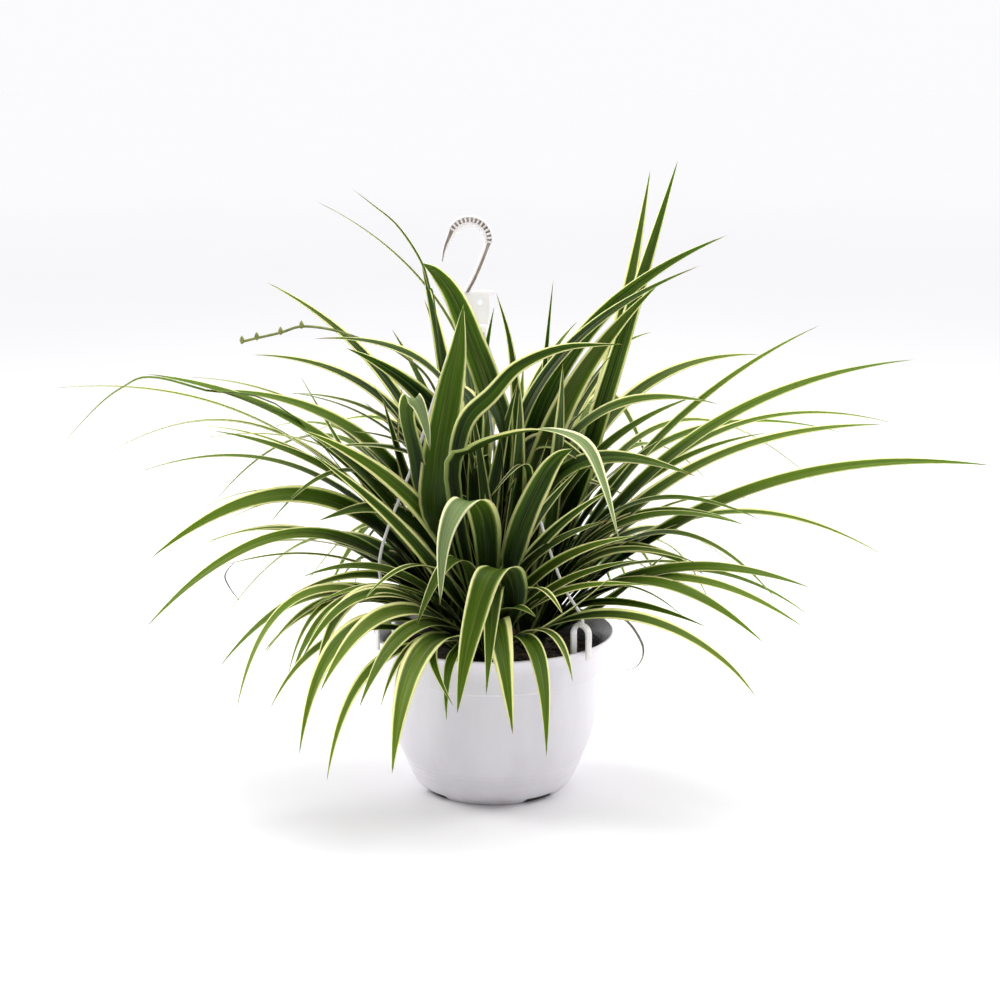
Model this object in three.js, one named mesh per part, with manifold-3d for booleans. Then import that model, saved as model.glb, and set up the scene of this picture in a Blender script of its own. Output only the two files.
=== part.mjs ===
// Spider plant in a white hanging pot, with its three-strand plastic hanger standing up from the rim.
// Millimetres, +Z up. The origin is the middle of the pot's underside, and -Y is the front.
import * as THREE from 'three';
import { mergeVertices } from 'three/addons/utils/BufferGeometryUtils.js';
import Module from 'manifold-3d';

const wasm = await Module();
wasm.setup();

// Pot
const POT_SIDES = 32;
const RIM_RADIUS = 100;
const RIM_HEIGHT = 134;
const FOOT_RADIUS = 58.5;
const FLOOR_HEIGHT = 4.5;
const CHANNEL_HEIGHT = 2.4;
const DISC_RADIUS = 22;
const NOTCH_TURNS = [-52, 38, 128, 218];
const NOTCH_WIDTH = 27;
const NOTCH_DEPTH = 14;
const NOTCH_HEIGHT = 3.2;
const DRAIN_RADIUS = 4.5;
const DRAIN_SIDES = 8;
const DRAIN_REACH = 34;
// Pairs of radius and height. The underside and outside run from the axis to the top of the rim.
const POT_OUTSIDE = [
  [0, 0], [DISC_RADIUS, 0], [DISC_RADIUS + 1, CHANNEL_HEIGHT], [46, CHANNEL_HEIGHT], [47.5, 0],
  [FOOT_RADIUS, 0], [61, 2], [68, 10], [75, 27], [81, 41], [86, 62], [89, 98], [89.5, 117],
  [93, 126], [RIM_RADIUS - 0.3, 132], [RIM_RADIUS, RIM_HEIGHT],
];
// The inner wall that shows above the soil, and the one that the soil lies against, down to the floor.
const POT_INNER_RIM = [[RIM_RADIUS - 2, RIM_HEIGHT], [91, 127], [87.5, 118]];
const POT_INNER_WALL = [[87, 98], [84, 62], [79, 42], [66, 12], [60, FLOOR_HEIGHT]];

// Soil
const SOIL_GAP = 0.5;
const SOIL_EDGE_HEIGHT = 112;
const SOIL_HEIGHT = 117;
const SOIL_TOP = [[80, 114.5], [50, 116.5], [0, SOIL_HEIGHT]];
const HOLE_RADIUS = 17.6;
const HOLE_FLOOR = 85.7;

// Hanger: a hook with its hub, and three strands that clip over the rim
const HUB_X = -12;
const HUB_RADIUS = 7;
const HUB_BOTTOM = 384;
const HUB_TOP = 389.5;
const HUB_SIDES = 16;
const PLATE_THICKNESS = 3;
const PLATE_OUTLINE = [[-19, 388], [-5, 388], [-3, 396], [-3, 413.5], [1, 413.5], [1, 416], [-8, 417],
  [-29, 414], [-28, 398]];
const EYE_AT = [-10.8, 407.5];
const EYE_RADIUS = 2.2;
const HOOK_CENTRE = [-19.2, 457.5];
const HOOK_RADIUS = 15;
const HOOK_BEND_FROM = 160;
const HOOK_BEND_TO = -22;
const HOOK_TIP = [[-41, 440], [-38.5, 451]];
const HOOK_LEG = [[-13.5, 431], [-25, 409]];
const HOOK_TIP_THICKNESS = 1.6;
const HOOK_BEND_THICKNESS = 8.4;
const HOOK_LEG_THICKNESS = 4.6;
const HOOK_DEPTH = 6;
const HOOK_STEPS = 26;
const STRAND_RADIUS = 1.3;
const STRAND_START = 6;
const STRAND_STEPS = 10;
const STRANDS = [
  { name: 'hanger_strand_right', turn: -42, bulge: -3, top: 383.1, bow: [] },
  { name: 'hanger_strand_left', turn: 202, bulge: 26, top: 382.4, bow: [[20, 380], [32, 352], [56, 285]] },
  { name: 'hanger_strand_back', turn: 82, bulge: 4, top: 383.1, bow: [] },
];
const CLIP_REACH = 92;
const CLIP_WIDTH = 7;
const CLIP_THICKNESS = 2;
const CLIP_INNER_LEG = 4.4;
const CLIP_OUTER_LEG = 10.2;
const CLIP_BOTTOM = 127;
const CLIP_SHOULDER = 147;
const CLIP_STEPS = 12;

// Plants: three young plants, one between each two strands
const CROWN_REACH = 34;
const CROWN_SIDES = 12;
const CROWN_PROFILE = [[0, 86.4], [12, 87.5], [17, 96], [17, 116], [20, 142], [21, 158], [16, 171], [0, 177]];
const ROOT_HEIGHT = 121;
const ROOT_SPREAD = [-6, 15];
const SECTOR_EASE = 6;
const SECTOR_CLEARANCE = 2.6;
const RIM_GUARD_REACH = 95;
const RIM_GUARD_HEIGHT = 130;
const RIM_GUARD_RADIUS = 12;
const RIM_GUARD_EASE = 8;
const BLADE_THICKNESS = 0.8;
const BLADE_STEP = 84;
const BLADE_RINGS = [4, 7];
const WINDING_RINGS = 2;
const STALK_RADIUS = 1.2;
const STALK_ROUTE = [[-30, 22, 130], [-38, 24, 230], [-46, 22, 325], [-76, 10, 364], [-109, 5, 377],
  [-132, 0, 385], [-155, -5, 388], [-172, -5, 383], [-191, -8, 379], [-203, -8, 376]];
const BUD_RADIUS = 2.2;
const BUD_COUNT = 4;

const WHITE_PLASTIC = { color: 0xeceaf0, roughness: 0.42, metalness: 0 };
const STRAND_PLASTIC = { color: 0xe6e3dc, roughness: 0.45, metalness: 0 };
const SOIL_LOOK = { color: 0x17120f, roughness: 0.95, metalness: 0 };
const LEAF_GREEN = { color: 0x4f7d2c, roughness: 0.5, metalness: 0 };

// Large blades, one row each: where the blade bends over (x, y, z), its tip (x, y, z), its width, and how far
// its face turns to the front, from 0 for a blade that lies flat to 1 for one that shows its whole face.
const LEFT_BLADES = [
  // long blades that sweep out to the left
  [-240, -10, 330, -355, -20, 340, 12, -0.05],
  [-188, -60, 335, -270, -75, 360, 18, 0.4],
  [-170, 20, 325, -255, 40, 340, 14, 0.05],
  [-140, -30, 322, -225, -60, 345, 19, 0.45],
  [-190, 15, 275, -300, 30, 260, 14, 0.15],
  [-235, 30, 305, -330, 60, 270, 15, -0.05],
  [-165, 50, 275, -255, 90, 290, 12, 0.1],
  [-170, -15, 300, -235, -25, 300, 9, 0],
  [-90, -10, 245, -155, -20, 305, 9, 0.55],
  // blades that hang lower on the left
  [-170, -50, 258, -270, -90, 215, 20, 0.45],
  [-180, 35, 245, -265, 60, 215, 10, -0.05],
  [-140, -40, 270, -180, -60, 235, 10, 0.2],
  [-98, -40, 244, -141, -50, 237, 19, 0.5],
  [-145, -20, 279, -226, -35, 308, 15, 0.4],
  [-160, 20, 240, -230, 40, 215, 10, 0.1],
  [-180, 0, 220, -245, 0, 205, 13, 0.15],
  [-185, 30, 213, -245, 50, 195, 14, 0.15],
  [-165, -60, 227, -275, -100, 160, 17, 0.35],
  [-150, -25, 215, -210, -35, 210, 10, 0],
  [-155, -50, 210, -215, -70, 205, 11, 0.15],
  // upright blades left of the hook
  [-75, 45, 436, -149, 60, 485, 9, 0.1],
  [-45, 22, 372, -59, 25, 437, 21, 0.6],
  [-125, 40, 376, -190, 60, 417, 16, 0.3],
  [-90, -15, 375, -145, -20, 380, 19, 0.35],
  [-75, 0, 345, -120, 0, 370, 24, 0.75],
  [-135, 20, 350, -200, 30, 360, 16, 0.4],
  [-122, 10, 325, -169, 15, 330, 12, 0.3],
  [-115, -5, 320, -165, -10, 335, 11, 0.2],
  [-145, 60, 305, -165, 80, 335, 9, 0.2],
  [-70, 40, 355, -85, 45, 380, 14, 0.45],
  [-90, -15, 300, -120, -20, 305, 12, 0.25],
  [-80, -15, 295, -90, -20, 335, 14, 0.55],
];

const FRONT_BLADES = [
  // blades that fall over the rim on the left
  [-139, -76, 184, -215, -115, 133, 18, 0.25],
  [-163, -105, 180, -197, -150, 110, 13, 0.25],
  [-147, -85, 173, -182, -105, 138, 13, 0.25],
  [-140, -125, 150, -170, -165, 115, 11, 0.25],
  [-116, -140, 164, -145, -195, 90, 19, 0.25],
  [-92, -130, 176, -130, -180, 134, 21, 0.35],
  [-67, -130, 167, -100, -190, 125, 17, 0.3],
  [-97, -150, 139, -123, -215, 76, 12, 0.25],
  [-138, -90, 173, -160, -125, 127, 13, 0.15],
  [-125, -100, 175, -145, -140, 150, 13, 0.2],
  [-115, -115, 185, -147, -150, 149, 14, 0.3],
  [-140, -70, 171, -183, -95, 139, 13, 0.25],
  [-126, -95, 176, -157, -130, 129, 16, 0.3],
  [-110, -105, 186, -138, -150, 125, 16, 0.3],
  [-103, -60, 202, -152, -85, 199, 14, 0.3],
  [-70, -140, 150, -85, -175, 120, 10, 0.1],
  [-70, -140, 145, -75, -160, 130, 8, 0.1],
  [-57, -160, 154, -74, -225, 85, 25, 0.15],
  // blades that fall over the rim in front
  [-45, -145, 145, -30, -170, 120, 10, 0.1],
  [-35, -150, 135, -35, -175, 110, 10, 0.1],
  [0, -110, 195, -5, -175, 130, 19, 0],
  [3, -125, 170, 15, -190, 104, 24, 0],
  [31, -130, 155, 40, -200, 90, 16, 0],
  [52, -120, 155, 61, -150, 133, 12, 0],
  [125, -105, 172, 199, -180, 129, 16, 0.3],
  // upright blades
  [15, -85, 285, -5, -110, 265, 7, 0],
  [-55, -45, 290, -95, -65, 350, 10, 0.2],
  [17, -30, 365, 2, -30, 419, 14, 0.7],
  [-5, -28, 376, 1, -30, 408, 12, 0.7],
  [5, -50, 290, 20, -45, 350, 14, 0.8],
  [55, -95, 190, 120, -135, 205, 13, 0.4],
  [45, -85, 225, 90, -105, 250, 14, 0.5],
  [35, -80, 245, 70, -90, 290, 15, 0.6],
  [50, -82, 238, 95, -100, 275, 14, 0.6],
  [53, -85, 213, 113, -115, 240, 13, 0.5],
  [57, -90, 197, 113, -125, 223, 12, 0.5],
  [-80, -75, 275, -150, -95, 320, 17, 0.7],
  [-70, -80, 235, -140, -95, 300, 13, 0.7],
];

const RIGHT_BLADES = [
  // broad and upright blades
  [75, -45, 285, 160, -85, 280, 21, 0.5],
  [50, -20, 295, 90, -50, 270, 21, 0.55],
  [40, -10, 345, 165, -30, 440, 15, 0.55],
  [112, 48, 410, 130, 65, 510, 19, 0.6],
  [124, 20, 433, 150, 30, 520, 19, 0.6],
  [99, 0, 407, 188, 0, 461, 18, 0.75],
  [84, -20, 370, 133, -20, 425, 23, 0.9],
  [45, 50, 370, 50, 60, 420, 8, 0.45],
  // long blades that sweep out to the right
  [165, 40, 351, 225, 60, 356, 18, 0.3],
  [120, -30, 333, 180, -45, 331, 19, 0.4],
  [185, 20, 335, 270, 30, 385, 12, 0.3],
  [220, -15, 331, 338, -25, 364, 16, 0.4],
  [230, 40, 306, 340, 60, 297, 13, 0.15],
  [195, -50, 296, 305, -75, 320, 17, 0.4],
  [170, 0, 285, 225, 0, 300, 12, 0.4],
  [108, -20, 306, 165, -25, 335, 14, 0.4],
  [260, -60, 280, 390, -90, 290, 16, 0.4],
  // blades that hang lower on the right
  [175, 50, 235, 240, 70, 225, 8, 0.1],
  [200, -35, 241, 318, -55, 207, 15, 0.2],
  [140, -45, 255, 215, -65, 240, 12, 0.15],
  [135, -60, 245, 200, -80, 240, 14, 0.25],
  [117, -60, 216, 162, -75, 208, 14, 0.3],
  [160, -55, 225, 225, -85, 180, 14, 0.2],
  [119, -40, 212, 171, -55, 193, 15, 0.35],
  [138, -40, 242, 199, -55, 236, 17, 0.4],
  [175, -75, 205, 250, -100, 194, 16, 0.35],
  [165, -85, 196, 241, -125, 169, 15, 0.25],
  [195, -70, 195, 250, -95, 170, 11, 0.2],
  [136, -80, 192, 212, -120, 154, 17, 0.3],
  [120, -50, 180, 155, -70, 160, 6, 0],
];

// Blades that fold or wind: width, facing, and the places that the middle line passes, from just above the
// crown to the tip.
const LEFT_WINDING = [
  // thread that runs on from the long pale blade and droops
  [3.5, 0.3, [[-150, -48, 314], [-228, -72, 347], [-267, -80, 358], [-288, -82, 350], [-307, -84, 336],
    [-335, -86, 307]]],
  // thread that runs on from the blade behind the hook
  [3.2, 0.5, [[-46, 18, 382], [-53, 20, 418], [-60, 20, 440], [-78, 20, 467], [-98, 20, 484],
    [-115, 20, 497]]],
];

const RIGHT_WINDING = [
  // dry curl that hangs outside the rim
  [3, 0, [[87, -40, 159], [107, -48, 154], [119, -54, 139], [121, -58, 128], [115, -60, 118],
    [102, -62, 116]]],
];

const FRONT_WINDING = [
  // broad dark blade left of the middle
  [27, 0.85, [[-44, -60, 225], [-44, -70, 285], [-35, -67, 340], [-28, -64, 375], [-23, -62, 413]]],
  // broad blade that leans left in front of the hook
  [22, 0.85, [[8, -50, 290], [-4, -46, 345], [-15, -42, 376], [-30, -42, 414], [-44, -42, 434],
    [-56, -42, 443]]],
  // blade that kinks and sweeps right
  [15, 0.75, [[-33, -75, 243], [-28, -85, 295], [-20, -88, 326], [-1, -90, 346], [20, -90, 368],
    [55, -92, 383], [100, -95, 386]]],
  // pale arch on the right
  [20, 0, [[-30, -92, 278], [-13, -104, 305], [15, -120, 320], [42, -137, 326], [68, -156, 319],
    [82, -169, 292], [94, -180, 250]]],
  // fold in the middle
  [25, 0, [[-5, -85, 210], [-8, -105, 250], [-16, -122, 268], [-28, -135, 264], [-37, -147, 240],
    [-40, -157, 195]]],
  // lower fold in the middle
  [25, 0, [[15, -90, 175], [13, -112, 205], [5, -132, 217], [-5, -147, 212], [-15, -160, 180],
    [-22, -169, 149], [-27, -176, 116]]],
  // fold on the left
  [16, 0, [[-52, -62, 245], [-62, -74, 295], [-68, -84, 328], [-64, -96, 343], [-57, -104, 341],
    [-51, -112, 325], [-48, -116, 306]]],
  // blade behind the pale arch
  [20, 0.85, [[12, -75, 195], [22, -85, 240], [38, -92, 278], [50, -95, 297], [62, -97, 305]]],
];

// Layers of blades fill the sides and the back by rule: reach and height of the bend, then reach and
// height of the tip, each as a range.
const LAYERS = {
  low: { bend: [110, 150], bendHeight: [185, 225], reach: [200, 280], tipHeight: [110, 170] },
  middle: { bend: [140, 190], bendHeight: [265, 315], reach: [250, 340], tipHeight: [215, 290] },
  tall: { bend: [70, 110], bendHeight: [310, 345], reach: [130, 190], tipHeight: [365, 415] },
  inner: { bend: [35, 60], bendHeight: [240, 300], reach: [60, 105], tipHeight: [270, 360] },
};

const CROWNS = [
  {
    name: 'spider_plant_left', from: 82, to: 202, turn: 142, seed: 11, rows: LEFT_BLADES,
    winding: LEFT_WINDING,
    fill: { low: [5, 92, 165], middle: [5, 90, 165], tall: [3, 90, 118] },
  },
  {
    name: 'spider_plant_right', from: -42, to: 82, turn: 22, seed: 23, rows: RIGHT_BLADES,
    winding: RIGHT_WINDING,
    fill: { low: [5, 14, 74], middle: [6, 16, 76], tall: [3, 30, 74], inner: [2, -10, 50] },
  },
  {
    name: 'spider_plant_front', from: 202, to: 318, turn: 262, seed: 37, rows: FRONT_BLADES,
    winding: FRONT_WINDING,
    fill: { inner: [3, 225, 300] },
  },
];

// Edges shorter than this are closed up after a join, so that no sliver is left.
const SHORTEST_EDGE = 0.02;

const radians = (degrees) => THREE.MathUtils.degToRad(degrees);

// Closed mesh to solid. Shared vertices are merged, and triangles that the merge flattens are dropped.
function toSolid(geometry) {
  geometry.deleteAttribute('normal');
  geometry.deleteAttribute('uv');
  const merged = mergeVertices(geometry, 1e-4);
  const index = merged.index.array;
  const kept = [];
  for (let i = 0; i < index.length; i += 3) {
    const [a, b, c] = index.subarray(i, i + 3);
    if (a !== b && b !== c && c !== a) kept.push(a, b, c);
  }
  return new wasm.Manifold(new wasm.Mesh({
    numProp: 3,
    vertProperties: new Float32Array(merged.attributes.position.array),
    triVerts: new Uint32Array(kept),
  }));
}

// Groups of points, each known by one of its own points.
class PointGroups {
  constructor(count) {
    this.parent = Array.from({ length: count }, (_, index) => index);
  }

  of(index) {
    let top = index;
    while (this.parent[top] !== top) {
      this.parent[top] = this.parent[this.parent[top]];
      top = this.parent[top];
    }
    return top;
  }

  join(one, other) {
    this.parent[this.of(one)] = this.of(other);
  }
}

function eachTriangle(triangles, visit) {
  for (let i = 0; i < triangles.length; i += 3) visit(triangles[i], triangles[i + 1], triangles[i + 2]);
}

// Closes up the shortest edges. Triangles that this flattens go, and so do pairs that fold onto each other.
function withoutSlivers(positions, triangles) {
  const corner = (index) => new THREE.Vector3().fromArray(positions, 3 * index);
  const groups = new PointGroups(positions.length / 3);
  eachTriangle(triangles, (...corners) => {
    corners.forEach((from, side) => {
      const to = corners[(side + 1) % 3];
      if (corner(from).distanceTo(corner(to)) < SHORTEST_EDGE) groups.join(from, to);
    });
  });
  const kept = new Map();
  eachTriangle(triangles, (...corners) => {
    const [a, b, c] = corners.map((index) => groups.of(index));
    if (a === b || b === c || c === a) return;
    const key = [a, b, c].sort((one, other) => one - other).join();
    if (kept.has(key)) kept.delete(key);
    else kept.set(key, [a, b, c]);
  });
  return [...kept.values()].flat();
}

// Triangles of the largest shell alone: hollows that fusing seals are filled, and loose scraps dropped.
function outerShell(positions, triangles) {
  const corner = (index) => new THREE.Vector3().fromArray(positions, 3 * index);
  const shells = new PointGroups(positions.length / 3);
  eachTriangle(triangles, (a, b, c) => {
    shells.join(b, a);
    shells.join(c, a);
  });
  const volumes = new Map();
  eachTriangle(triangles, (a, b, c) => {
    const volume = corner(a).dot(corner(b).cross(corner(c)));
    volumes.set(shells.of(a), (volumes.get(shells.of(a)) ?? 0) + volume);
  });
  const [largest] = [...volumes.entries()].sort((one, other) => other[1] - one[1])[0];
  const kept = [];
  eachTriangle(triangles, (a, b, c) => {
    if (shells.of(a) === largest) kept.push(a, b, c);
  });
  return kept;
}

function toMesh(name, solid, look) {
  const { vertProperties, triVerts } = solid.getMesh();
  const geometry = new THREE.BufferGeometry();
  geometry.setAttribute('position', new THREE.BufferAttribute(vertProperties, 3));
  geometry.setIndex(outerShell(vertProperties, withoutSlivers(vertProperties, triVerts)));
  geometry.computeVertexNormals();
  const mesh = new THREE.Mesh(geometry, new THREE.MeshStandardMaterial(look));
  mesh.name = name;
  return mesh;
}

// Turned shape from a profile of [radius, height] pairs that starts and ends on the axis.
function turned(profile, sides) {
  const points = profile.map(([radius, height]) => new THREE.Vector2(radius, height));
  return new THREE.LatheGeometry(points, sides).rotateX(Math.PI / 2);
}

// Round bar that stands on end, centred on the origin.
function upright(radius, height, sides) {
  return new THREE.CylinderGeometry(radius, radius, height, sides).rotateX(Math.PI / 2);
}

// A shape as a solid, turned about the vertical axis and then moved to its place.
function placed(geometry, x, y, z, turn = 0) {
  return toSolid(geometry.rotateZ(turn).translate(x, y, z));
}

function buildPot() {
  const profile = [...POT_OUTSIDE, ...POT_INNER_RIM, ...POT_INNER_WALL, [0, FLOOR_HEIGHT]];
  let pot = toSolid(turned(profile, POT_SIDES));
  for (const turn of NOTCH_TURNS) {
    const angle = radians(turn);
    const [cos, sin] = [Math.cos(angle), Math.sin(angle)];
    const notch = new THREE.BoxGeometry(NOTCH_DEPTH, NOTCH_WIDTH, 2 * NOTCH_HEIGHT);
    pot = pot.subtract(placed(notch, FOOT_RADIUS * cos, FOOT_RADIUS * sin, 0, angle));
    const drain = upright(DRAIN_RADIUS, 4 * FLOOR_HEIGHT, DRAIN_SIDES);
    pot = pot.subtract(placed(drain, DRAIN_REACH * cos, DRAIN_REACH * sin, 0));
  }
  return toMesh('pot', pot, WHITE_PLASTIC);
}

function crownPlace(turn) {
  return new THREE.Vector3(CROWN_REACH * Math.cos(radians(turn)), CROWN_REACH * Math.sin(radians(turn)), 0);
}

// The soil fills the pot a little clear of its wall, and has a plain hole for each crown.
function buildSoil() {
  const wall = POT_INNER_WALL.map(([radius, height]) => [radius - SOIL_GAP, height + SOIL_GAP]).reverse();
  const profile = [[0, FLOOR_HEIGHT + SOIL_GAP], ...wall, [87 - SOIL_GAP, SOIL_EDGE_HEIGHT], ...SOIL_TOP];
  let soil = toSolid(turned(profile, POT_SIDES));
  for (const { turn } of CROWNS) {
    const height = 2 * (SOIL_HEIGHT - HOLE_FLOOR);
    const { x, y } = crownPlace(turn);
    soil = soil.subtract(placed(upright(HOLE_RADIUS, height, CROWN_SIDES), x, y, HOLE_FLOOR + height / 2));
  }
  return toMesh('potting_soil', soil, SOIL_LOOK);
}

// Rectangle with cut corners, drawn across a path.
function strapOutline(width, thickness, cut) {
  const [x, y] = [width / 2, thickness / 2];
  const corners = [[x, y - cut], [x - cut, y], [cut - x, y], [-x, y - cut], [-x, cut - y], [cut - x, -y],
    [x - cut, -y], [x, cut - y]];
  return new THREE.Shape(corners.map(([across, up]) => new THREE.Vector2(across, up)));
}

function swept(outline, path, steps, curveSegments = 3) {
  return new THREE.ExtrudeGeometry(outline, { steps, curveSegments, bevelEnabled: false, extrudePath: path });
}

function disc(radius) {
  return new THREE.Shape().absarc(0, 0, radius, 0, 2 * Math.PI);
}

// From the tip, round the bend and down the leg to the plate.
function hookPath() {
  const [x, z] = HOOK_CENTRE;
  const turns = [];
  for (let angle = HOOK_BEND_FROM; angle > HOOK_BEND_TO; angle -= 18) turns.push(angle);
  const bend = [...turns, HOOK_BEND_TO].map(radians).map((angle) => (
    [x + HOOK_RADIUS * Math.cos(angle), z + HOOK_RADIUS * Math.sin(angle)]));
  const points = [...HOOK_TIP, ...bend, ...HOOK_LEG];
  return new THREE.CatmullRomCurve3(points.map(([across, up]) => new THREE.Vector3(across, 0, up)));
}

// The band is thin at its tip, deepest round the bend, and slimmer down the leg.
function hookThickness(share) {
  const { lerp, smoothstep } = THREE.MathUtils;
  const bent = lerp(HOOK_TIP_THICKNESS, HOOK_BEND_THICKNESS, smoothstep(share, 0, 0.22));
  return lerp(bent, HOOK_LEG_THICKNESS, smoothstep(share, 0.74, 0.9));
}

// Side view of the band: out along its outer edge, and back along its inner one.
function hookOutline() {
  const path = hookPath();
  const [outer, inner] = [[], []];
  for (let i = 0; i <= HOOK_STEPS; i += 1) {
    const share = i / HOOK_STEPS;
    const { x, z } = path.getPoint(share);
    const tangent = path.getTangent(share);
    const half = hookThickness(share) / 2;
    outer.push(new THREE.Vector2(x - tangent.z * half, z + tangent.x * half));
    inner.unshift(new THREE.Vector2(x + tangent.z * half, z - tangent.x * half));
  }
  return new THREE.Shape([...outer, ...inner]);
}

// Flat piece that stands upright across the front, cut from a side view.
function slab(shape, thickness) {
  const settings = { depth: thickness, bevelEnabled: false, curveSegments: 5 };
  return placed(new THREE.ExtrudeGeometry(shape, settings).rotateX(Math.PI / 2), 0, thickness / 2, 0);
}

function buildHook() {
  const plate = new THREE.Shape(PLATE_OUTLINE.map(([x, z]) => new THREE.Vector2(x, z)));
  plate.holes.push(new THREE.Path().absarc(...EYE_AT, EYE_RADIUS, 0, 2 * Math.PI));
  const hub = upright(HUB_RADIUS, HUB_TOP - HUB_BOTTOM, HUB_SIDES);
  const hook = slab(hookOutline(), HOOK_DEPTH)
    .add(slab(plate, PLATE_THICKNESS))
    .add(placed(hub, HUB_X, 0, (HUB_TOP + HUB_BOTTOM) / 2));
  return toMesh('hanger_hook', hook, WHITE_PLASTIC);
}

// From the hub's axis to the clip on the rim: direction and distance, seen from above.
function strandLine(turn) {
  const x = CLIP_REACH * Math.cos(radians(turn)) - HUB_X;
  const y = CLIP_REACH * Math.sin(radians(turn));
  return { angle: Math.atan2(y, x), reach: Math.hypot(x, y) };
}

// The strand and its clip are drawn in the XZ plane, with X away from the hub, and then turned into place.
function buildStrand({ name, turn, bulge, top: start, bow }) {
  const { angle, reach } = strandLine(turn);
  const at = (x, z) => new THREE.Vector3(x, 0, z);
  const [inner, outer] = [reach - CLIP_INNER_LEG, reach + CLIP_OUTER_LEG];
  const bend = (outer - inner) / 2;
  const middle = (outer + inner) / 2;
  const top = CLIP_SHOULDER + bend;
  const arch = [1, 5 / 6, 4 / 6, 3 / 6, 2 / 6, 1 / 6, 0].map((share) => (
    at(middle + bend * Math.cos(Math.PI * share), CLIP_SHOULDER + bend * Math.sin(Math.PI * share))));
  const legMiddle = (CLIP_BOTTOM + CLIP_SHOULDER) / 2;
  const clipPath = new THREE.CatmullRomCurve3([
    at(inner, CLIP_BOTTOM), at(inner, legMiddle), ...arch, at(outer, legMiddle), at(outer, CLIP_BOTTOM),
  ]);
  const strandPath = new THREE.CatmullRomCurve3([
    at(STRAND_START, start), ...bow.map((place) => at(...place)), at(0.76 * reach + bulge, 208),
    at(middle - 1, top + 9), at(middle, top - 0.3),
  ]);
  const clip = swept(strapOutline(CLIP_WIDTH, CLIP_THICKNESS, 0.4), clipPath, CLIP_STEPS);
  const strand = swept(disc(STRAND_RADIUS), strandPath, STRAND_STEPS);
  const solid = placed(strand, HUB_X, 0, 0, angle).add(placed(clip, HUB_X, 0, 0, angle));
  return toMesh(name, solid, STRAND_PLASTIC);
}

// Seeded draws, the same on every run.
function drawer(seed) {
  let state = seed;
  return (low, high) => {
    state = (Math.imul(state, 1664525) + 1013904223) >>> 0;
    return low + (high - low) * (state / 4294967296);
  };
}

// Rises smoothly from floor: distances above floor + ease stay as they are.
function held(distance, floor, ease) {
  if (distance >= floor + ease) return distance;
  return floor + ease * Math.exp((distance - floor - ease) / ease);
}

// Keeps a point of a blade on its own side of the two strands beside its crown.
function keepInSector(point, walls, margin) {
  for (const wall of walls) {
    const distance = (point.x - HUB_X) * wall.x + point.y * wall.y;
    const push = held(distance, margin, SECTOR_EASE) - distance;
    point.x += push * wall.x;
    point.y += push * wall.y;
  }
}

// Lifts a point of a blade over the rolled rim, or holds it off outside.
function keepOffRim(point, width) {
  const reach = Math.hypot(point.x, point.y);
  const [out, up] = [reach - RIM_GUARD_REACH, point.z - RIM_GUARD_HEIGHT];
  const distance = Math.hypot(out, up);
  const grown = held(distance, RIM_GUARD_RADIUS + 0.15 * width, RIM_GUARD_EASE) / distance;
  const moveTo = (RIM_GUARD_REACH + out * grown) / reach;
  point.x *= moveTo;
  point.y *= moveTo;
  point.z = RIM_GUARD_HEIGHT + up * grown;
}

// Share of the full width along a blade: narrow at the crown, widest at a third, then a long taper.
function widthShare(t) {
  const opening = 0.3 + 0.7 * Math.sin(Math.min(t / 0.34, 1) * Math.PI / 2);
  const taper = t < 0.34 ? 1 : 1 - ((t - 0.34) / 0.66) ** 2.1;
  return opening * taper;
}

// Depth of the channel down the middle of a blade, as a share of its width.
const channelShare = (t) => 0.26 - 0.16 * Math.min(t / 0.5, 1);

// An arch from the crown, through the bend, to the tip.
function archThrough({ root, bend, tip }) {
  const near = root.distanceTo(bend);
  const share = near / (near + bend.distanceTo(tip));
  const pull = bend.clone()
    .addScaledVector(root, -((1 - share) ** 2))
    .addScaledVector(tip, -(share ** 2))
    .divideScalar(2 * share * (1 - share));
  return new THREE.QuadraticBezierCurve3(root, pull, tip);
}

// The blade's middle line, kept clear of the strands and the rim.
function bladeLine({ curve, width }, walls) {
  return (t) => {
    const point = curve.getPoint(t);
    keepInSector(point, walls, SECTOR_CLEARANCE + 0.5 * width * widthShare(t));
    keepOffRim(point, width);
    return point;
  };
}

// Which way the upper face looks: up out of the arch at the crown, and turned to the front further out.
function bladeFace(tangent, outward, facing, t) {
  const side = new THREE.Vector3(0, 0, 1).cross(outward);
  const natural = tangent.clone().cross(side).normalize();
  const front = new THREE.Vector3(0, -1, 0);
  front.addScaledVector(tangent, -front.dot(tangent));
  const turn = facing * Math.min(t / 0.35, 1);
  return natural.multiplyScalar(1 - Math.abs(turn)).addScaledVector(front, turn).normalize();
}

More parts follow.
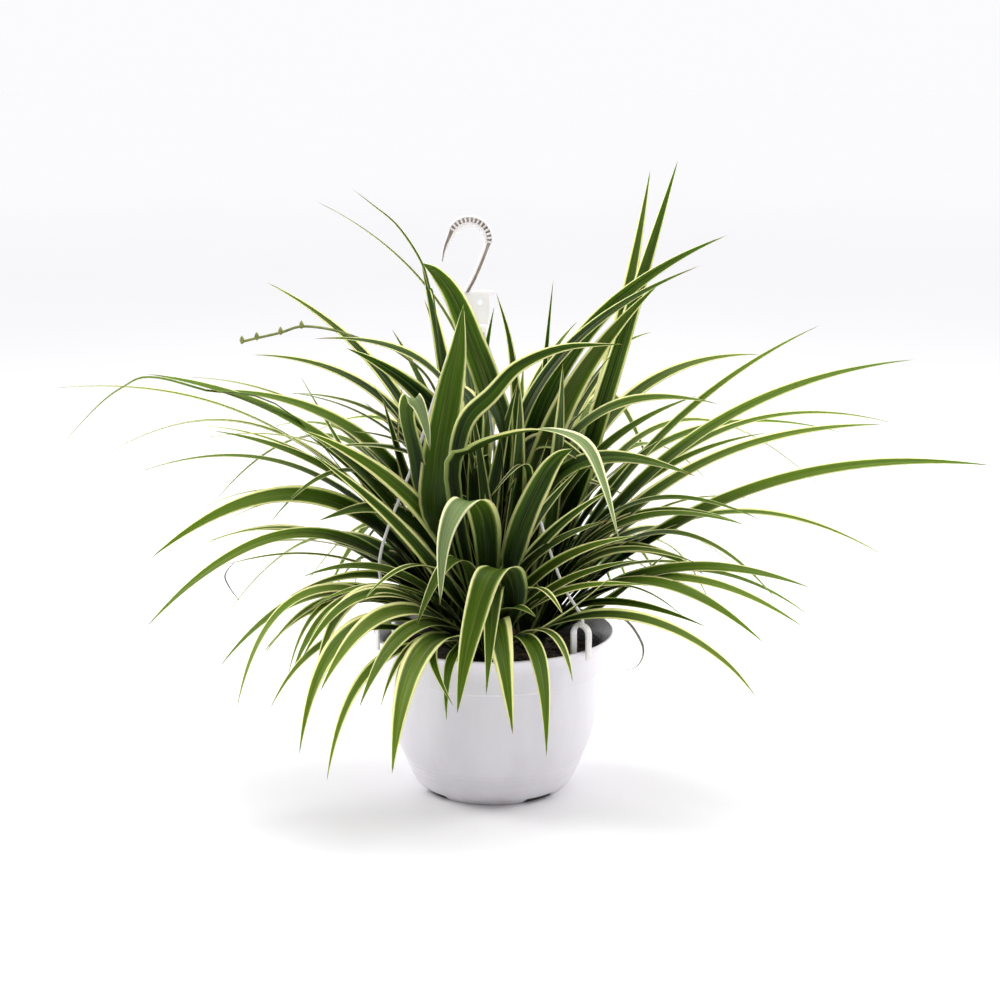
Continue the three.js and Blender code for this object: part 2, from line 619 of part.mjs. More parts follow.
// One blade: rings of four points (left edge, top, right edge, keel), closed at the root, drawn to a point.
function bladeSolid(blade, walls) {
  const line = bladeLine(blade, walls);
  const outward = blade.tip.clone().sub(blade.root).setZ(0).normalize();
  const { steps } = blade;
  const points = [];
  const faces = [];
  for (let i = 0; i < steps; i += 1) {
    const t = i / steps;
    const middle = line(t);
    const tangent = line(t + 0.01).sub(line(Math.max(t - 0.01, 0))).normalize();
    const face = bladeFace(tangent, outward, blade.facing, t);
    const across = tangent.clone().cross(face);
    const width = blade.width * widthShare(t);
    const rise = width * channelShare(t);
    points.push(
      middle.clone().addScaledVector(across, -width / 2).addScaledVector(face, rise),
      middle.clone().addScaledVector(face, BLADE_THICKNESS / 2),
      middle.clone().addScaledVector(across, width / 2).addScaledVector(face, rise),
      middle.clone().addScaledVector(face, -BLADE_THICKNESS / 2),
    );
  }
  const tipIndex = points.length;
  points.push(line(1));
  faces.push(0, 3, 1, 1, 3, 2);
  for (let ring = 0; ring < steps - 1; ring += 1) {
    const [a, b] = [4 * ring, 4 * ring + 4];
    // Both strips on a side are split from the edge, so that the two faces never cross.
    faces.push(a, b + 1, b, a, a + 1, b + 1);
    faces.push(a + 2, b + 1, a + 1, a + 2, b + 2, b + 1);
    faces.push(a + 2, b + 3, b + 2, a + 2, a + 3, b + 3);
    faces.push(a, b + 3, a + 3, a, b, b + 3);
  }
  const last = 4 * (steps - 1);
  for (let corner = 0; corner < 4; corner += 1) {
    faces.push(last + corner, last + (corner + 1) % 4, tipIndex);
  }
  return new wasm.Manifold(new wasm.Mesh({
    numProp: 3,
    vertProperties: new Float32Array(points.flatMap((point) => point.toArray())),
    triVerts: new Uint32Array(faces),
  }));
}

// A blade of one layer, placed by rule at a turn round the pot.
function layerRow(layer, turn, draw) {
  const bend = draw(...layer.bend);
  const bendHeight = draw(...layer.bendHeight);
  const reach = draw(...layer.reach);
  const tipHeight = draw(...layer.tipHeight);
  const sway = radians(turn + draw(-9, 9));
  const [cos, sin] = [Math.cos(radians(turn)), Math.sin(radians(turn))];
  return [bend * cos, bend * sin, bendHeight, reach * Math.cos(sway), reach * Math.sin(sway), tipHeight,
    draw(11, 19), draw(0.05, 0.3)];
}

function bladeRows(crown, draw) {
  const rows = [...crown.rows];
  for (const [layer, [count, from, to]] of Object.entries(crown.fill)) {
    for (let i = 0; i < count; i += 1) {
      const turn = from + (to - from) * (i + draw(0.2, 0.8)) / count;
      rows.push(layerRow(LAYERS[layer], turn, draw));
    }
  }
  return rows;
}

// A blade leaves its crown on the side where it grows to. Steep blades stand in the middle, flat ones outer.
function rootToward(bend, crownAt) {
  const away = bend.clone().sub(crownAt).setZ(0);
  const steepness = Math.atan2(bend.z - ROOT_HEIGHT, away.length()) / (Math.PI / 2);
  const spread = THREE.MathUtils.lerp(...ROOT_SPREAD, 1 - steepness);
  return crownAt.clone().setZ(ROOT_HEIGHT).addScaledVector(away.normalize(), spread);
}

function archedBlade([bendX, bendY, bendZ, tipX, tipY, tipZ, width, facing], crownAt) {
  const bend = new THREE.Vector3(bendX, bendY, bendZ);
  const tip = new THREE.Vector3(tipX, tipY, tipZ);
  const root = rootToward(bend, crownAt);
  const length = root.distanceTo(bend) + bend.distanceTo(tip);
  const steps = THREE.MathUtils.clamp(Math.round(length / BLADE_STEP), ...BLADE_RINGS);
  return { root, tip, width, facing, steps, curve: archThrough({ root, bend, tip }) };
}

function windingBlade([width, facing, places], crownAt) {
  const path = places.map((place) => new THREE.Vector3(...place));
  const root = rootToward(path[0], crownAt);
  const curve = new THREE.CatmullRomCurve3([root, ...path], false, 'catmullrom');
  return { root, tip: path.at(-1), width, facing, steps: path.length + WINDING_RINGS, curve };
}

// Thin flower stalk that leans out between the blades on the left, with closed buds at its end.
function flowerStalk() {
  const path = new THREE.CatmullRomCurve3(STALK_ROUTE.map((place) => new THREE.Vector3(...place)));
  let stalk = toSolid(swept(disc(STALK_RADIUS), path, 14));
  for (const [x, y, z] of STALK_ROUTE.slice(-BUD_COUNT)) {
    stalk = stalk.add(placed(new THREE.SphereGeometry(BUD_RADIUS, 6, 4), x, y, z + 1));
  }
  return stalk;
}

// A crown is one short sheath of wrapped blade bases that stands in its hole, with its blades fused to it.
function buildCrown(crown) {
  const place = crownPlace(crown.turn);
  const draw = drawer(crown.seed);
  const [from, to] = [strandLine(crown.from).angle, strandLine(crown.to).angle];
  const walls = [
    new THREE.Vector2(-Math.sin(from), Math.cos(from)),
    new THREE.Vector2(Math.sin(to), -Math.cos(to)),
  ];
  let solid = placed(turned(CROWN_PROFILE, CROWN_SIDES), place.x, place.y, 0);
  const blades = [
    ...bladeRows(crown, draw).map((row) => archedBlade(row, place)),
    ...crown.winding.map((row) => windingBlade(row, place)),
  ];
  for (const blade of blades) solid = solid.add(bladeSolid(blade, walls));
  if (crown.rows === LEFT_BLADES) solid = solid.add(flowerStalk());
  return toMesh(crown.name, solid, LEAF_GREEN);
}

const plant = new THREE.Group();
plant.add(buildPot(), buildSoil(), buildHook());
for (const strand of STRANDS) plant.add(buildStrand(strand));
for (const crown of CROWNS) plant.add(buildCrown(crown));

export default plant;
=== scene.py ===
import math
from types import SimpleNamespace

import bmesh
import bpy
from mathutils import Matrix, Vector, noise


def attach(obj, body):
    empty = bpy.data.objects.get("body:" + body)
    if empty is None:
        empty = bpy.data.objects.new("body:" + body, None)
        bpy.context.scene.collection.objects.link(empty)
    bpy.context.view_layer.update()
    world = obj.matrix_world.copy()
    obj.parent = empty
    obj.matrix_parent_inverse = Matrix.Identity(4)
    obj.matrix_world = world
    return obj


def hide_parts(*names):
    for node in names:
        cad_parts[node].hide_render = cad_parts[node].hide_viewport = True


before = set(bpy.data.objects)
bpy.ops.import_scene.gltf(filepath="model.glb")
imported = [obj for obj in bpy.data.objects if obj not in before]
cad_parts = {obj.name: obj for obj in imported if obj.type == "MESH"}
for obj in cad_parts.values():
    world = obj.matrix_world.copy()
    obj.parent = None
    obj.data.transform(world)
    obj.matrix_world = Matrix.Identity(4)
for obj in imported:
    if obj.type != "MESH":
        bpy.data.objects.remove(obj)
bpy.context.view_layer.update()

MM = 0.001

# Seeded draws: each state is the one before times the factor, plus the step
DRAW_FACTOR = 1664525
DRAW_STEP = 1013904223
DRAW_STATES = 2 ** 32

# Camera, fitted to the ellipses of the pot's rim and foot
CAMERA_AT = (5.4, -1700, 605)
CAMERA_PITCH = -12
FOCAL_PIXELS = 2108
IMAGE_PIXELS = 1000
SENSOR_WIDTH = 36

# Brightness of the room, and the floor under it
WORLD_HORIZON = 0.985
WORLD_FRONT_TO_BACK = (0.28, 0.95)
WORLD_OVERHEAD = 0.35
WORLD_TINT = (0.985, 0.98, 1.0)
WORLD_DEPTHS = (-0.3, 0.6)
WORLD_HEIGHTS = (0.35, 0.95)
WORLD_HORIZON_HEIGHTS = (0.04, 0.2)
FLOOR_REACH = 30
FLOOR_TONES = (0.86, 0.85, 0.875), (0.89, 0.88, 0.90)
FLOOR_GLOW_TINT = (0.98, 1.0, 0.975)
FLOOR_GLOW = 0.25
FLOOR_GLOW_REACH = (0.1, 1.6)
FAR_GLOW = 0.063
FAR_GLOW_REACH = (1.6, 9)

# Each light: name, place, size and watts
LIGHTS = [
    ("overhead", (0.2, -0.1, 1.9), (1.2, 1.0), 17),
    ("left", (-1.5, 0.5, 0.9), (0.8, 1.2), 21),
    ("right", (1.5, 0.3, 0.9), (0.8, 1.2), 16),
]
LIGHT_TARGET = (0, 0, 0.25)

# Pot
POT_SIDES = 300
OUTER_WALL_STEPS = 280
LIP_STEPS = 8
INNER_WALL_STEPS = 24
FLOOR_HEIGHT = 4.5
FLOOR_RING = 30
NOTCH_TURNS = (-52, 38, 128, 218)
NOTCH_WIDTH = 27
NOTCH_HEIGHT = 3.3
NOTCH_SLOPE = 0.25
NOTCH_BACK = 57.95
NOTCH_FRONT = 65
NOTCH_EASE = 1
DRAIN_REACH = 34
DRAIN_RADIUS = 4.5
DRAIN_SIDES = 32
DRAIN_SPAN = (-10, 15)
UNDERSIDE = [(0, 0), (22, 0), (23, 2.4), (46, 2.4), (47.5, 0), (53, 0), (57.9, 0), (58, 0), (58.5, 0)]
OUTER_WALL = [
    (58.5, 0), (61, 2), (68, 10), (75, 27), (81, 41), (86, 62), (89, 98), (89.5, 117), (93, 126),
    (99.4, 131.6),
]
LIP = [(99.4, 131.6), (99.9, 132.8), (99.8, 133.6), (99.2, 134), (98.6, 133.8)]
INNER_WALL = [(98.6, 133.8), (91, 127), (87.5, 118), (87, 98), (84, 62), (79, 42), (66, 12), (60, 4.5)]
RIDGE_HEIGHTS = (20, 24, 28)
RIDGE_DEPTH = 0.5
RIDGE_SPREAD = 0.7
COLLAR_HEIGHT = 102.5
COLLAR_DEPTH = 0.7
COLLAR_TOP = 125
COLLAR_RISE = 0.8
COLLAR_FADE = 8
# Painted shade, nearly black, lies on the underside and in the notches: below a height, and above a cone that
# hugs the outer wall, in metres.
FOOT_SHADE_HEIGHT = 0.0055
FOOT_SHADE_SLOPE = 0.9
FOOT_SHADE_OFFSET = -0.0521
POT_TONES = (0.705, 0.685, 0.725), (0.755, 0.74, 0.77)
POT_MARK_TONE = (0.64, 0.61, 0.65)
DUST_TONE = (0.50, 0.47, 0.44)
FOOT_SHADE_TONE = (0.035, 0.03, 0.03)
CHARCOAL_TONES = (0.028, 0.026, 0.032), (0.055, 0.052, 0.062)
SPECK_TONE = (0.02, 0.014, 0.01)

# Soil
SOIL_RADIUS = 86.4
SOIL_BOTTOM = 5
SOIL_EDGE_HEIGHT = 112
SOIL_HEIGHT = 116.5
SOIL_RINGS = 44
SOIL_TURNS = 150
SOIL_ROUGHNESS = 1.6
SOIL_GRAIN = 0.09
SOIL_SINK = 1.2
SOIL_SIDE = [(86.2, 98), (83.3, 62), (78.3, 42), (65.3, 12.5), (59.3, SOIL_BOTTOM)]
SOIL_TONES = (0.008, 0.006, 0.005), (0.045, 0.03, 0.02)
BARK_TONES = (0.016, 0.009, 0.005), (0.09, 0.05, 0.028)
CRUMB_COUNT = 900
CRUMB_SEED = 401
CRUMB_SHARE = 0.8
CRUMB_SIZES = (0.8, 2.0)
CHIP_SIZES = (2.0, 3.6)
CRUMB_EDGE = 4
CRUMB_SIDES = 6
CRUMB_FLATNESS = (0.35, 1.0)
CRUMB_ROUGHNESS = (0.75, 1.2)
CRUMB_RISE = 0.2
# Height of each ring of a crumb, as a share of its size, and how far out it reaches
CRUMB_RINGS = [(-0.7, 0.55), (0.0, 1.0), (0.6, 0.6)]

# Hanger
HUB_X = -12
HUB_BOTTOM = 384
HUB_TOP = 389.5
HUB_RADIUS = 7
HUB_SOFT_EDGE = 0.8
PLATE_THICKNESS = 3
PLATE_OUTLINE = [
    (-19, 388), (-5, 388), (-3, 396), (-3, 413.5), (1, 413.5), (1, 416), (-8, 417), (-29, 414), (-28, 398),
]
EYE_AT = (-10.8, 407.5)
EYE_RADIUS = 2.2
PLATE_SOFT_EDGE = 0.35
HOOK_CENTRE = (-19.2, 457.5)
HOOK_RADIUS = 15
HOOK_BEND = (160, -22)
HOOK_TIP = [(-41, 440), (-38.5, 451)]
HOOK_LEG = [(-13.5, 431), (-25, 409)]
HOOK_TIP_THICKNESS = 1.6
HOOK_BEND_THICKNESS = 8.4
HOOK_LEG_THICKNESS = 4.6
HOOK_STEPS = 110
HOOK_BEND_STEPS = 10
HOOK_SOFT_EDGE = 0.3
# Shares of the band: where it has grown thick, where it starts to slim, and over how much
HOOK_THICK_AT = 0.22
HOOK_SLIMS_AT = 0.74
HOOK_SLIMS_OVER = 0.16
HOOK_DEPTH = 6
HOOK_WEB = 1.6
# Edges of the channel, as shares of half the band's thickness, and the strips of the section that are its
# floor
HOOK_CHANNEL = (-0.2, 0.74)
HOOK_CHANNEL_STRIPS = (3, 11)
RIB_TURNS = (148, -6)
RIB_COUNT = 14
RIB_WIDTH = 1.5
RIB_OVERLAP = 0.4
HOOK_TONES = (0.88, 0.85, 0.83), (0.93, 0.91, 0.90)
# painted shade: the channel floors of the hook are painted a dark brownish grey
HOOK_CHANNEL_SHADE_TONES = (0.30, 0.24, 0.20), (0.48, 0.42, 0.37)
STRAND_TONES = (0.64, 0.63, 0.61), (0.80, 0.79, 0.77)
SCUFF_TONE = (0.5, 0.48, 0.44)
STRAND_RADIUS = 1.3
STRAND_STEPS = 60
STRAND_START = 6
STRAND_SIDES = 14
# Where a strand bends: share of the way to its clip, and height
STRAND_BEND = (0.76, 208)
# Name, turn of its clip, how far it bulges above the clip, height of its upper end, and the bow below the hub
STRANDS = [
    ("hanger_strand_right", -42, -3, 383.1, []),
    ("hanger_strand_left", 202, 26, 382.4, [(20, 380), (32, 352), (56, 285)]),
    ("hanger_strand_back", 82, 4, 383.1, []),
]
CLIP_REACH = 92
CLIP_WIDTH = 7
CLIP_THICKNESS = 2
CLIP_INNER_LEG = 4.4
CLIP_OUTER_LEG = 10.2
CLIP_BOTTOM = 127
CLIP_SHOULDER = 147
CLIP_ARCH_STEPS = 6
CLIP_SOFT_EDGE = 0.5
KNOB_RADIUS = 2.1
KNOB_SIDES = 18
KNOB_STEPS = 6
KNOB_SPAN = (-0.6, 3)

# Plants
CROWN_REACH = 34
ROOT_HEIGHT = 121
ROOT_SPREAD = (-6, 15)
SECTOR_EASE = 6
SECTOR_CLEARANCE = 2.6
RIM_GUARD_REACH = 95
RIM_GUARD_HEIGHT = 130
RIM_GUARD_RADIUS = 12
RIM_GUARD_EASE = 8
RIM_GUARD_WIDTH_SHARE = 0.15
BLADE_HALF_THICKNESS = 0.38
# A blade's width: share of it at the crown, where it is widest, and how its taper curves
BLADE_ROOT_SHARE = 0.3
BLADE_WIDEST_AT = 0.34
BLADE_TAPER = 2.1
# Depth of a blade's channel as a share of its width, at the crown and from halfway out
BLADE_CHANNEL = (0.26, 0.10)
CHANNEL_SETTLES_AT = 0.5
CHANNEL_CURVE = 1.25
# Where along a blade it has turned its face, and where its twist starts and over how much of it
FACE_TURNED_AT = 0.35
TWIST_STARTS_AT = 0.2
TWIST_OVER = 0.5
# A blade narrower than this is thinner too.
FULL_THICKNESS_WIDTH = 10
# Draws of each blade: its twist in degrees, the waves along its edge, and their depth as a share of its width
BLADE_TWIST = (-9, 9)
BLADE_WAVES = (1.2, 2.6)
BLADE_RIPPLE = (0.0, 0.05)
BLADE_STRIPS = 8
BLADE_RINGS = 34
# A blade stops a hair short of its end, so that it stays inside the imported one.
TIP_SHARE = 0.9995
SHEATH_COUNT = 11
SHEATH_TURN = 2.4
SHEATH_LEAN = (0.8, 1.15)
# Reach and height of a leaf base's root and bend, then the reach of its tip
SHEATH_ROOT = (9, 104)
SHEATH_BEND = (16, 148)
SHEATH_TIP_REACH = 27
SHEATH_TIP_HEIGHT = (178, 215)
SHEATH_WIDTH = (22, 28)
SHEATH_CHANNEL = 1.9
# Young blades, leaf bases, twist and colouring have their own draws, with this much added to a crown's seed.
LOOK_SEED_STEP = 500
STALK_TONES = (0.13, 0.18, 0.03), (0.28, 0.29, 0.08)
STALK_RADIUS = 1.1
STALK_SIDES = 10
STALK_STEPS = 90
STALK_ROUTE = [(-30, 22, 130), (-38, 24, 230), (-46, 22, 325), (-76, 10, 364), (-109, 5, 377), (-132, 0, 385),
               (-155, -5, 388), (-172, -5, 383), (-191, -8, 379), (-203, -8, 376)]
BUD_COUNT = 4
BUD_SIDES = 12
BUD_RISE = 1
BUD_PROFILE = [(0, -3), (1.3, -2.2), (2.1, 0), (1.6, 2), (0.6, 3.6), (0, 4)]
DRY_TIP_ROUTE = [(-207, -67, 206.5), (-212.5, -69, 200), (-213.5, -70, 194.5), (-209, -72, 186),
                 (-202, -74, 177)]
DRY_TIP_RADIUS = 0.65
DRY_TIP_SIDES = 8
DRY_TIP_STEPS = 40
DRY_LEAF_TONES = (0.10, 0.09, 0.07), (0.26, 0.25, 0.19)

# Large blades, one row each: where the blade bends over (x, y, z), its tip (x, y, z), its width, and how far
# its face turns to the front, from 0 for a blade that lies flat to 1 for one that shows its whole face.
LEFT_BLADES = [
    # long blades that sweep out to the left
    (-240, -10, 330, -355, -20, 340, 12, -0.05),
    (-188, -60, 335, -270, -75, 360, 18, 0.4),
    (-170, 20, 325, -255, 40, 340, 14, 0.05),
    (-140, -30, 322, -225, -60, 345, 19, 0.45),
    (-190, 15, 275, -300, 30, 260, 14, 0.15),
    (-235, 30, 305, -330, 60, 270, 15, -0.05),
    (-165, 50, 275, -255, 90, 290, 12, 0.1),
    (-170, -15, 300, -235, -25, 300, 9, 0),
    (-90, -10, 245, -155, -20, 305, 9, 0.55),
    # blades that hang lower on the left
    (-170, -50, 258, -270, -90, 215, 20, 0.45),
    (-180, 35, 245, -265, 60, 215, 10, -0.05),
    (-140, -40, 270, -180, -60, 235, 10, 0.2),
    (-98, -40, 244, -141, -50, 237, 19, 0.5),
    (-145, -20, 279, -226, -35, 308, 15, 0.4),
    (-160, 20, 240, -230, 40, 215, 10, 0.1),
    (-180, 0, 220, -245, 0, 205, 13, 0.15),
    (-185, 30, 213, -245, 50, 195, 14, 0.15),
    (-165, -60, 227, -275, -100, 160, 17, 0.35),
    (-150, -25, 215, -210, -35, 210, 10, 0),
    (-155, -50, 210, -215, -70, 205, 11, 0.15),
    # upright blades left of the hook
    (-75, 45, 436, -149, 60, 485, 9, 0.1),
    (-45, 22, 372, -59, 25, 437, 21, 0.6),
    (-125, 40, 376, -190, 60, 417, 16, 0.3),
    (-90, -15, 375, -145, -20, 380, 19, 0.35),
    (-75, 0, 345, -120, 0, 370, 24, 0.75),
    (-135, 20, 350, -200, 30, 360, 16, 0.4),
    (-122, 10, 325, -169, 15, 330, 12, 0.3),
    (-115, -5, 320, -165, -10, 335, 11, 0.2),
    (-145, 60, 305, -165, 80, 335, 9, 0.2),
    (-70, 40, 355, -85, 45, 380, 14, 0.45),
    (-90, -15, 300, -120, -20, 305, 12, 0.25),
    (-80, -15, 295, -90, -20, 335, 14, 0.55),
]

FRONT_BLADES = [
    # blades that fall over the rim on the left
    (-139, -76, 184, -215, -115, 133, 18, 0.25),
    (-163, -105, 180, -197, -150, 110, 13, 0.25),
    (-147, -85, 173, -182, -105, 138, 13, 0.25),
    (-140, -125, 150, -170, -165, 115, 11, 0.25),
    (-116, -140, 164, -145, -195, 90, 19, 0.25),
    (-92, -130, 176, -130, -180, 134, 21, 0.35),
    (-67, -130, 167, -100, -190, 125, 17, 0.3),
    (-97, -150, 139, -123, -215, 76, 12, 0.25),
    (-138, -90, 173, -160, -125, 127, 13, 0.15),
    (-125, -100, 175, -145, -140, 150, 13, 0.2),
    (-115, -115, 185, -147, -150, 149, 14, 0.3),
    (-140, -70, 171, -183, -95, 139, 13, 0.25),
    (-126, -95, 176, -157, -130, 129, 16, 0.3),
    (-110, -105, 186, -138, -150, 125, 16, 0.3),
    (-103, -60, 202, -152, -85, 199, 14, 0.3),
    (-70, -140, 150, -85, -175, 120, 10, 0.1),
    (-70, -140, 145, -75, -160, 130, 8, 0.1),
    (-57, -160, 154, -74, -225, 85, 25, 0.15),
    # blades that fall over the rim in front
    (-45, -145, 145, -30, -170, 120, 10, 0.1),
    (-35, -150, 135, -35, -175, 110, 10, 0.1),
    (0, -110, 195, -5, -175, 130, 19, 0),
    (3, -125, 170, 15, -190, 104, 24, 0),
    (31, -130, 155, 40, -200, 90, 16, 0),
    (52, -120, 155, 61, -150, 133, 12, 0),
    (125, -105, 172, 199, -180, 129, 16, 0.3),
    # upright blades
    (15, -85, 285, -5, -110, 265, 7, 0),
    (-55, -45, 290, -95, -65, 350, 10, 0.2),
    (17, -30, 365, 2, -30, 419, 14, 0.7),
    (-5, -28, 376, 1, -30, 408, 12, 0.7),
    (5, -50, 290, 20, -45, 350, 14, 0.8),
    (55, -95, 190, 120, -135, 205, 13, 0.4),
    (45, -85, 225, 90, -105, 250, 14, 0.5),
    (35, -80, 245, 70, -90, 290, 15, 0.6),
    (50, -82, 238, 95, -100, 275, 14, 0.6),
    (53, -85, 213, 113, -115, 240, 13, 0.5),
    (57, -90, 197, 113, -125, 223, 12, 0.5),
    (-80, -75, 275, -150, -95, 320, 17, 0.7),
    (-70, -80, 235, -140, -95, 300, 13, 0.7),
]

RIGHT_BLADES = [
    # broad and upright blades
    (75, -45, 285, 160, -85, 280, 21, 0.5),
    (50, -20, 295, 90, -50, 270, 21, 0.55),
    (40, -10, 345, 165, -30, 440, 15, 0.55),
    (112, 48, 410, 130, 65, 510, 19, 0.6),
    (124, 20, 433, 150, 30, 520, 19, 0.6),
    (99, 0, 407, 188, 0, 461, 18, 0.75),
    (84, -20, 370, 133, -20, 425, 23, 0.9),
    (45, 50, 370, 50, 60, 420, 8, 0.45),
    # long blades that sweep out to the right
    (165, 40, 351, 225, 60, 356, 18, 0.3),
    (120, -30, 333, 180, -45, 331, 19, 0.4),
    (185, 20, 335, 270, 30, 385, 12, 0.3),
    (220, -15, 331, 338, -25, 364, 16, 0.4),
    (230, 40, 306, 340, 60, 297, 13, 0.15),
    (195, -50, 296, 305, -75, 320, 17, 0.4),
    (170, 0, 285, 225, 0, 300, 12, 0.4),
    (108, -20, 306, 165, -25, 335, 14, 0.4),
    (260, -60, 280, 390, -90, 290, 16, 0.4),
    # blades that hang lower on the right
    (175, 50, 235, 240, 70, 225, 8, 0.1),
    (200, -35, 241, 318, -55, 207, 15, 0.2),
    (140, -45, 255, 215, -65, 240, 12, 0.15),
    (135, -60, 245, 200, -80, 240, 14, 0.25),
    (117, -60, 216, 162, -75, 208, 14, 0.3),
    (160, -55, 225, 225, -85, 180, 14, 0.2),
    (119, -40, 212, 171, -55, 193, 15, 0.35),
    (138, -40, 242, 199, -55, 236, 17, 0.4),
    (175, -75, 205, 250, -100, 194, 16, 0.35),
    (165, -85, 196, 241, -125, 169, 15, 0.25),
    (195, -70, 195, 250, -95, 170, 11, 0.2),
    (136, -80, 192, 212, -120, 154, 17, 0.3),
    (120, -50, 180, 155, -70, 160, 6, 0),
]

# Blades that fold or wind: width, facing, and the places that the middle line passes, from just above the
# crown to the tip.
LEFT_WINDING = [
    # thread that runs on from the long pale blade and droops
    (3.5, 0.3, [(-150, -48, 314), (-228, -72, 347), (-267, -80, 358), (-288, -82, 350),
        (-307, -84, 336), (-335, -86, 307)]),
    # thread that runs on from the blade behind the hook
    (3.2, 0.5, [(-46, 18, 382), (-53, 20, 418), (-60, 20, 440), (-78, 20, 467), (-98, 20, 484),
        (-115, 20, 497)]),
]

RIGHT_WINDING = [
    # dry curl that hangs outside the rim
    (3, 0, [(87, -40, 159), (107, -48, 154), (119, -54, 139), (121, -58, 128), (115, -60, 118),
        (102, -62, 116)]),
]

FRONT_WINDING = [
    # broad dark blade left of the middle
    (27, 0.85, [(-44, -60, 225), (-44, -70, 285), (-35, -67, 340), (-28, -64, 375), (-23, -62, 413)]),
    # broad blade that leans left in front of the hook
    (22, 0.85, [(8, -50, 290), (-4, -46, 345), (-15, -42, 376), (-30, -42, 414), (-44, -42, 434),
        (-56, -42, 443)]),
    # blade that kinks and sweeps right
    (15, 0.75, [(-33, -75, 243), (-28, -85, 295), (-20, -88, 326), (-1, -90, 346), (20, -90, 368),
        (55, -92, 383), (100, -95, 386)]),
    # pale arch on the right
    (20, 0, [(-30, -92, 278), (-13, -104, 305), (15, -120, 320), (42, -137, 326), (68, -156, 319),
        (82, -169, 292), (94, -180, 250)]),
    # fold in the middle
    (25, 0, [(-5, -85, 210), (-8, -105, 250), (-16, -122, 268), (-28, -135, 264), (-37, -147, 240),
        (-40, -157, 195)]),
    # lower fold in the middle
    (25, 0, [(15, -90, 175), (13, -112, 205), (5, -132, 217), (-5, -147, 212), (-15, -160, 180),
        (-22, -169, 149), (-27, -176, 116)]),
    # fold on the left
    (16, 0, [(-52, -62, 245), (-62, -74, 295), (-68, -84, 328), (-64, -96, 343), (-57, -104, 341),
        (-51, -112, 325), (-48, -116, 306)]),
    # blade behind the pale arch
    (20, 0.85, [(12, -75, 195), (22, -85, 240), (38, -92, 278), (50, -95, 297), (62, -97, 305)]),
]

# Each pair is the materials that a blade shows on its two sides, by their places in LEAF_LOOKS, with the dry
# leaf last.
USUAL_SIDES = (0, 1)
TURNED_OVER_SIDES = (2, 0)
DRIED_SIDES = (3, 3)

# Each side of a leaf: its deep green, green, bright green and cream, its roughness, and its painted pale
# sheen
LEAF_LOOKS = {
    "leaf_upper": ((0.004, 0.017, 0.001), (0.067, 0.140, 0.003), (0.22, 0.35, 0.012), (0.89, 0.86, 0.37),
                   0.46, 0.0),
    "leaf_under": ((0.005, 0.020, 0.002), (0.072, 0.147, 0.006), (0.20, 0.32, 0.018), (0.87, 0.84, 0.38),
                   0.5, 0.08),
    "leaf_pale_under": ((0.010, 0.034, 0.004), (0.080, 0.155, 0.018), (0.20, 0.31, 0.045), (0.88, 0.87, 0.48),
                        0.5, 0.52),
}
PAINTED_SHEEN_TONE = (0.42, 0.51, 0.25)
YELLOWED_TONE = (0.24, 0.33, 0.03)
BROWN_TONE = (0.22, 0.12, 0.04)
# painted shade: tints that darken the crowded lower parts of the blades and the middle of the plant
CROWDED_SHADE_TINT = (0.14, 0.20, 0.10)
INNER_SHADE_TINT = (0.28, 0.36, 0.20)

# Winding blades, by place in their list, that don't have the usual sides. In front the arch and the upper two
# folds have turned over, so that their pale underside shows. On the right the curl has dried.
FRONT_SIDES = {3: TURNED_OVER_SIDES, 4: TURNED_OVER_SIDES, 6: TURNED_OVER_SIDES}
RIGHT_SIDES = {0: DRIED_SIDES}

# Draws of each blade that is placed by rule: its place between its neighbours, how far its tip sways in
# degrees, and its facing
LAYER_STAGGER = (0.2, 0.8)
LAYER_SWAY = (-9, 9)
LAYER_FACING = (0.05, 0.3)

# Layers of blades fill the sides and the back by rule: reach and height of the bend, reach and height of the
# tip, and width, each as a range.
LAYERS = {
    "low": ((110, 150), (185, 225), (200, 280), (110, 170), (11, 19)),
    "middle": ((140, 190), (265, 315), (250, 340), (215, 290), (11, 19)),
    "tall": ((70, 110), (310, 345), (130, 190), (365, 415), (11, 19)),
    "inner": ((35, 60), (240, 300), (60, 105), (270, 360), (11, 19)),
    "heart": ((30, 75), (210, 320), (60, 150), (230, 370), (17, 24)),
    "core": ((25, 50), (210, 300), (42, 66), (240, 350), (15, 22)),
    "skirt": ((70, 110), (155, 215), (120, 190), (135, 215), (11, 19)),
}

# Each crown: its sector between two strands, and how many blades each layer has between two turns. The
# layers under "more" are young inner leaves that only this scene shows.
CROWNS = [
    {
        "name": "leaves_left", "node": "spider_plant_left", "from": 82, "to": 202, "turn": 142, "seed": 11,
        "rows": LEFT_BLADES, "winding": LEFT_WINDING, "sides": {},
        "fill": {"low": (5, 92, 165), "middle": (5, 90, 165), "tall": (3, 90, 118)},
        "more": {"heart": (9, 84, 200), "skirt": (8, 90, 198)},
    },
    {
        "name": "leaves_right", "node": "spider_plant_right", "from": -42, "to": 82, "turn": 22, "seed": 23,
        "rows": RIGHT_BLADES, "winding": RIGHT_WINDING, "sides": RIGHT_SIDES,
        "fill": {"low": (5, 14, 74), "middle": (6, 16, 76), "tall": (3, 30, 74), "inner": (2, -10, 50)},
        "more": {"heart": (9, -36, 80), "skirt": (8, -34, 76)},
    },
    {
        "name": "leaves_front", "node": "spider_plant_front", "from": 202, "to": 318, "turn": 262, "seed": 37,
        "rows": FRONT_BLADES, "winding": FRONT_WINDING, "sides": FRONT_SIDES,
        "fill": {"inner": (3, 225, 300)},
        "more": {"core": (8, 206, 318), "skirt": (6, 210, 316)},
    },
]


# Small helpers

def lerp(low, high, share):
    return low + (high - low) * share


def clamp(value, low, high):
    return max(low, min(high, value))


def smooth(share):
    share = clamp(share, 0, 1)
    return share * share * (3 - 2 * share)


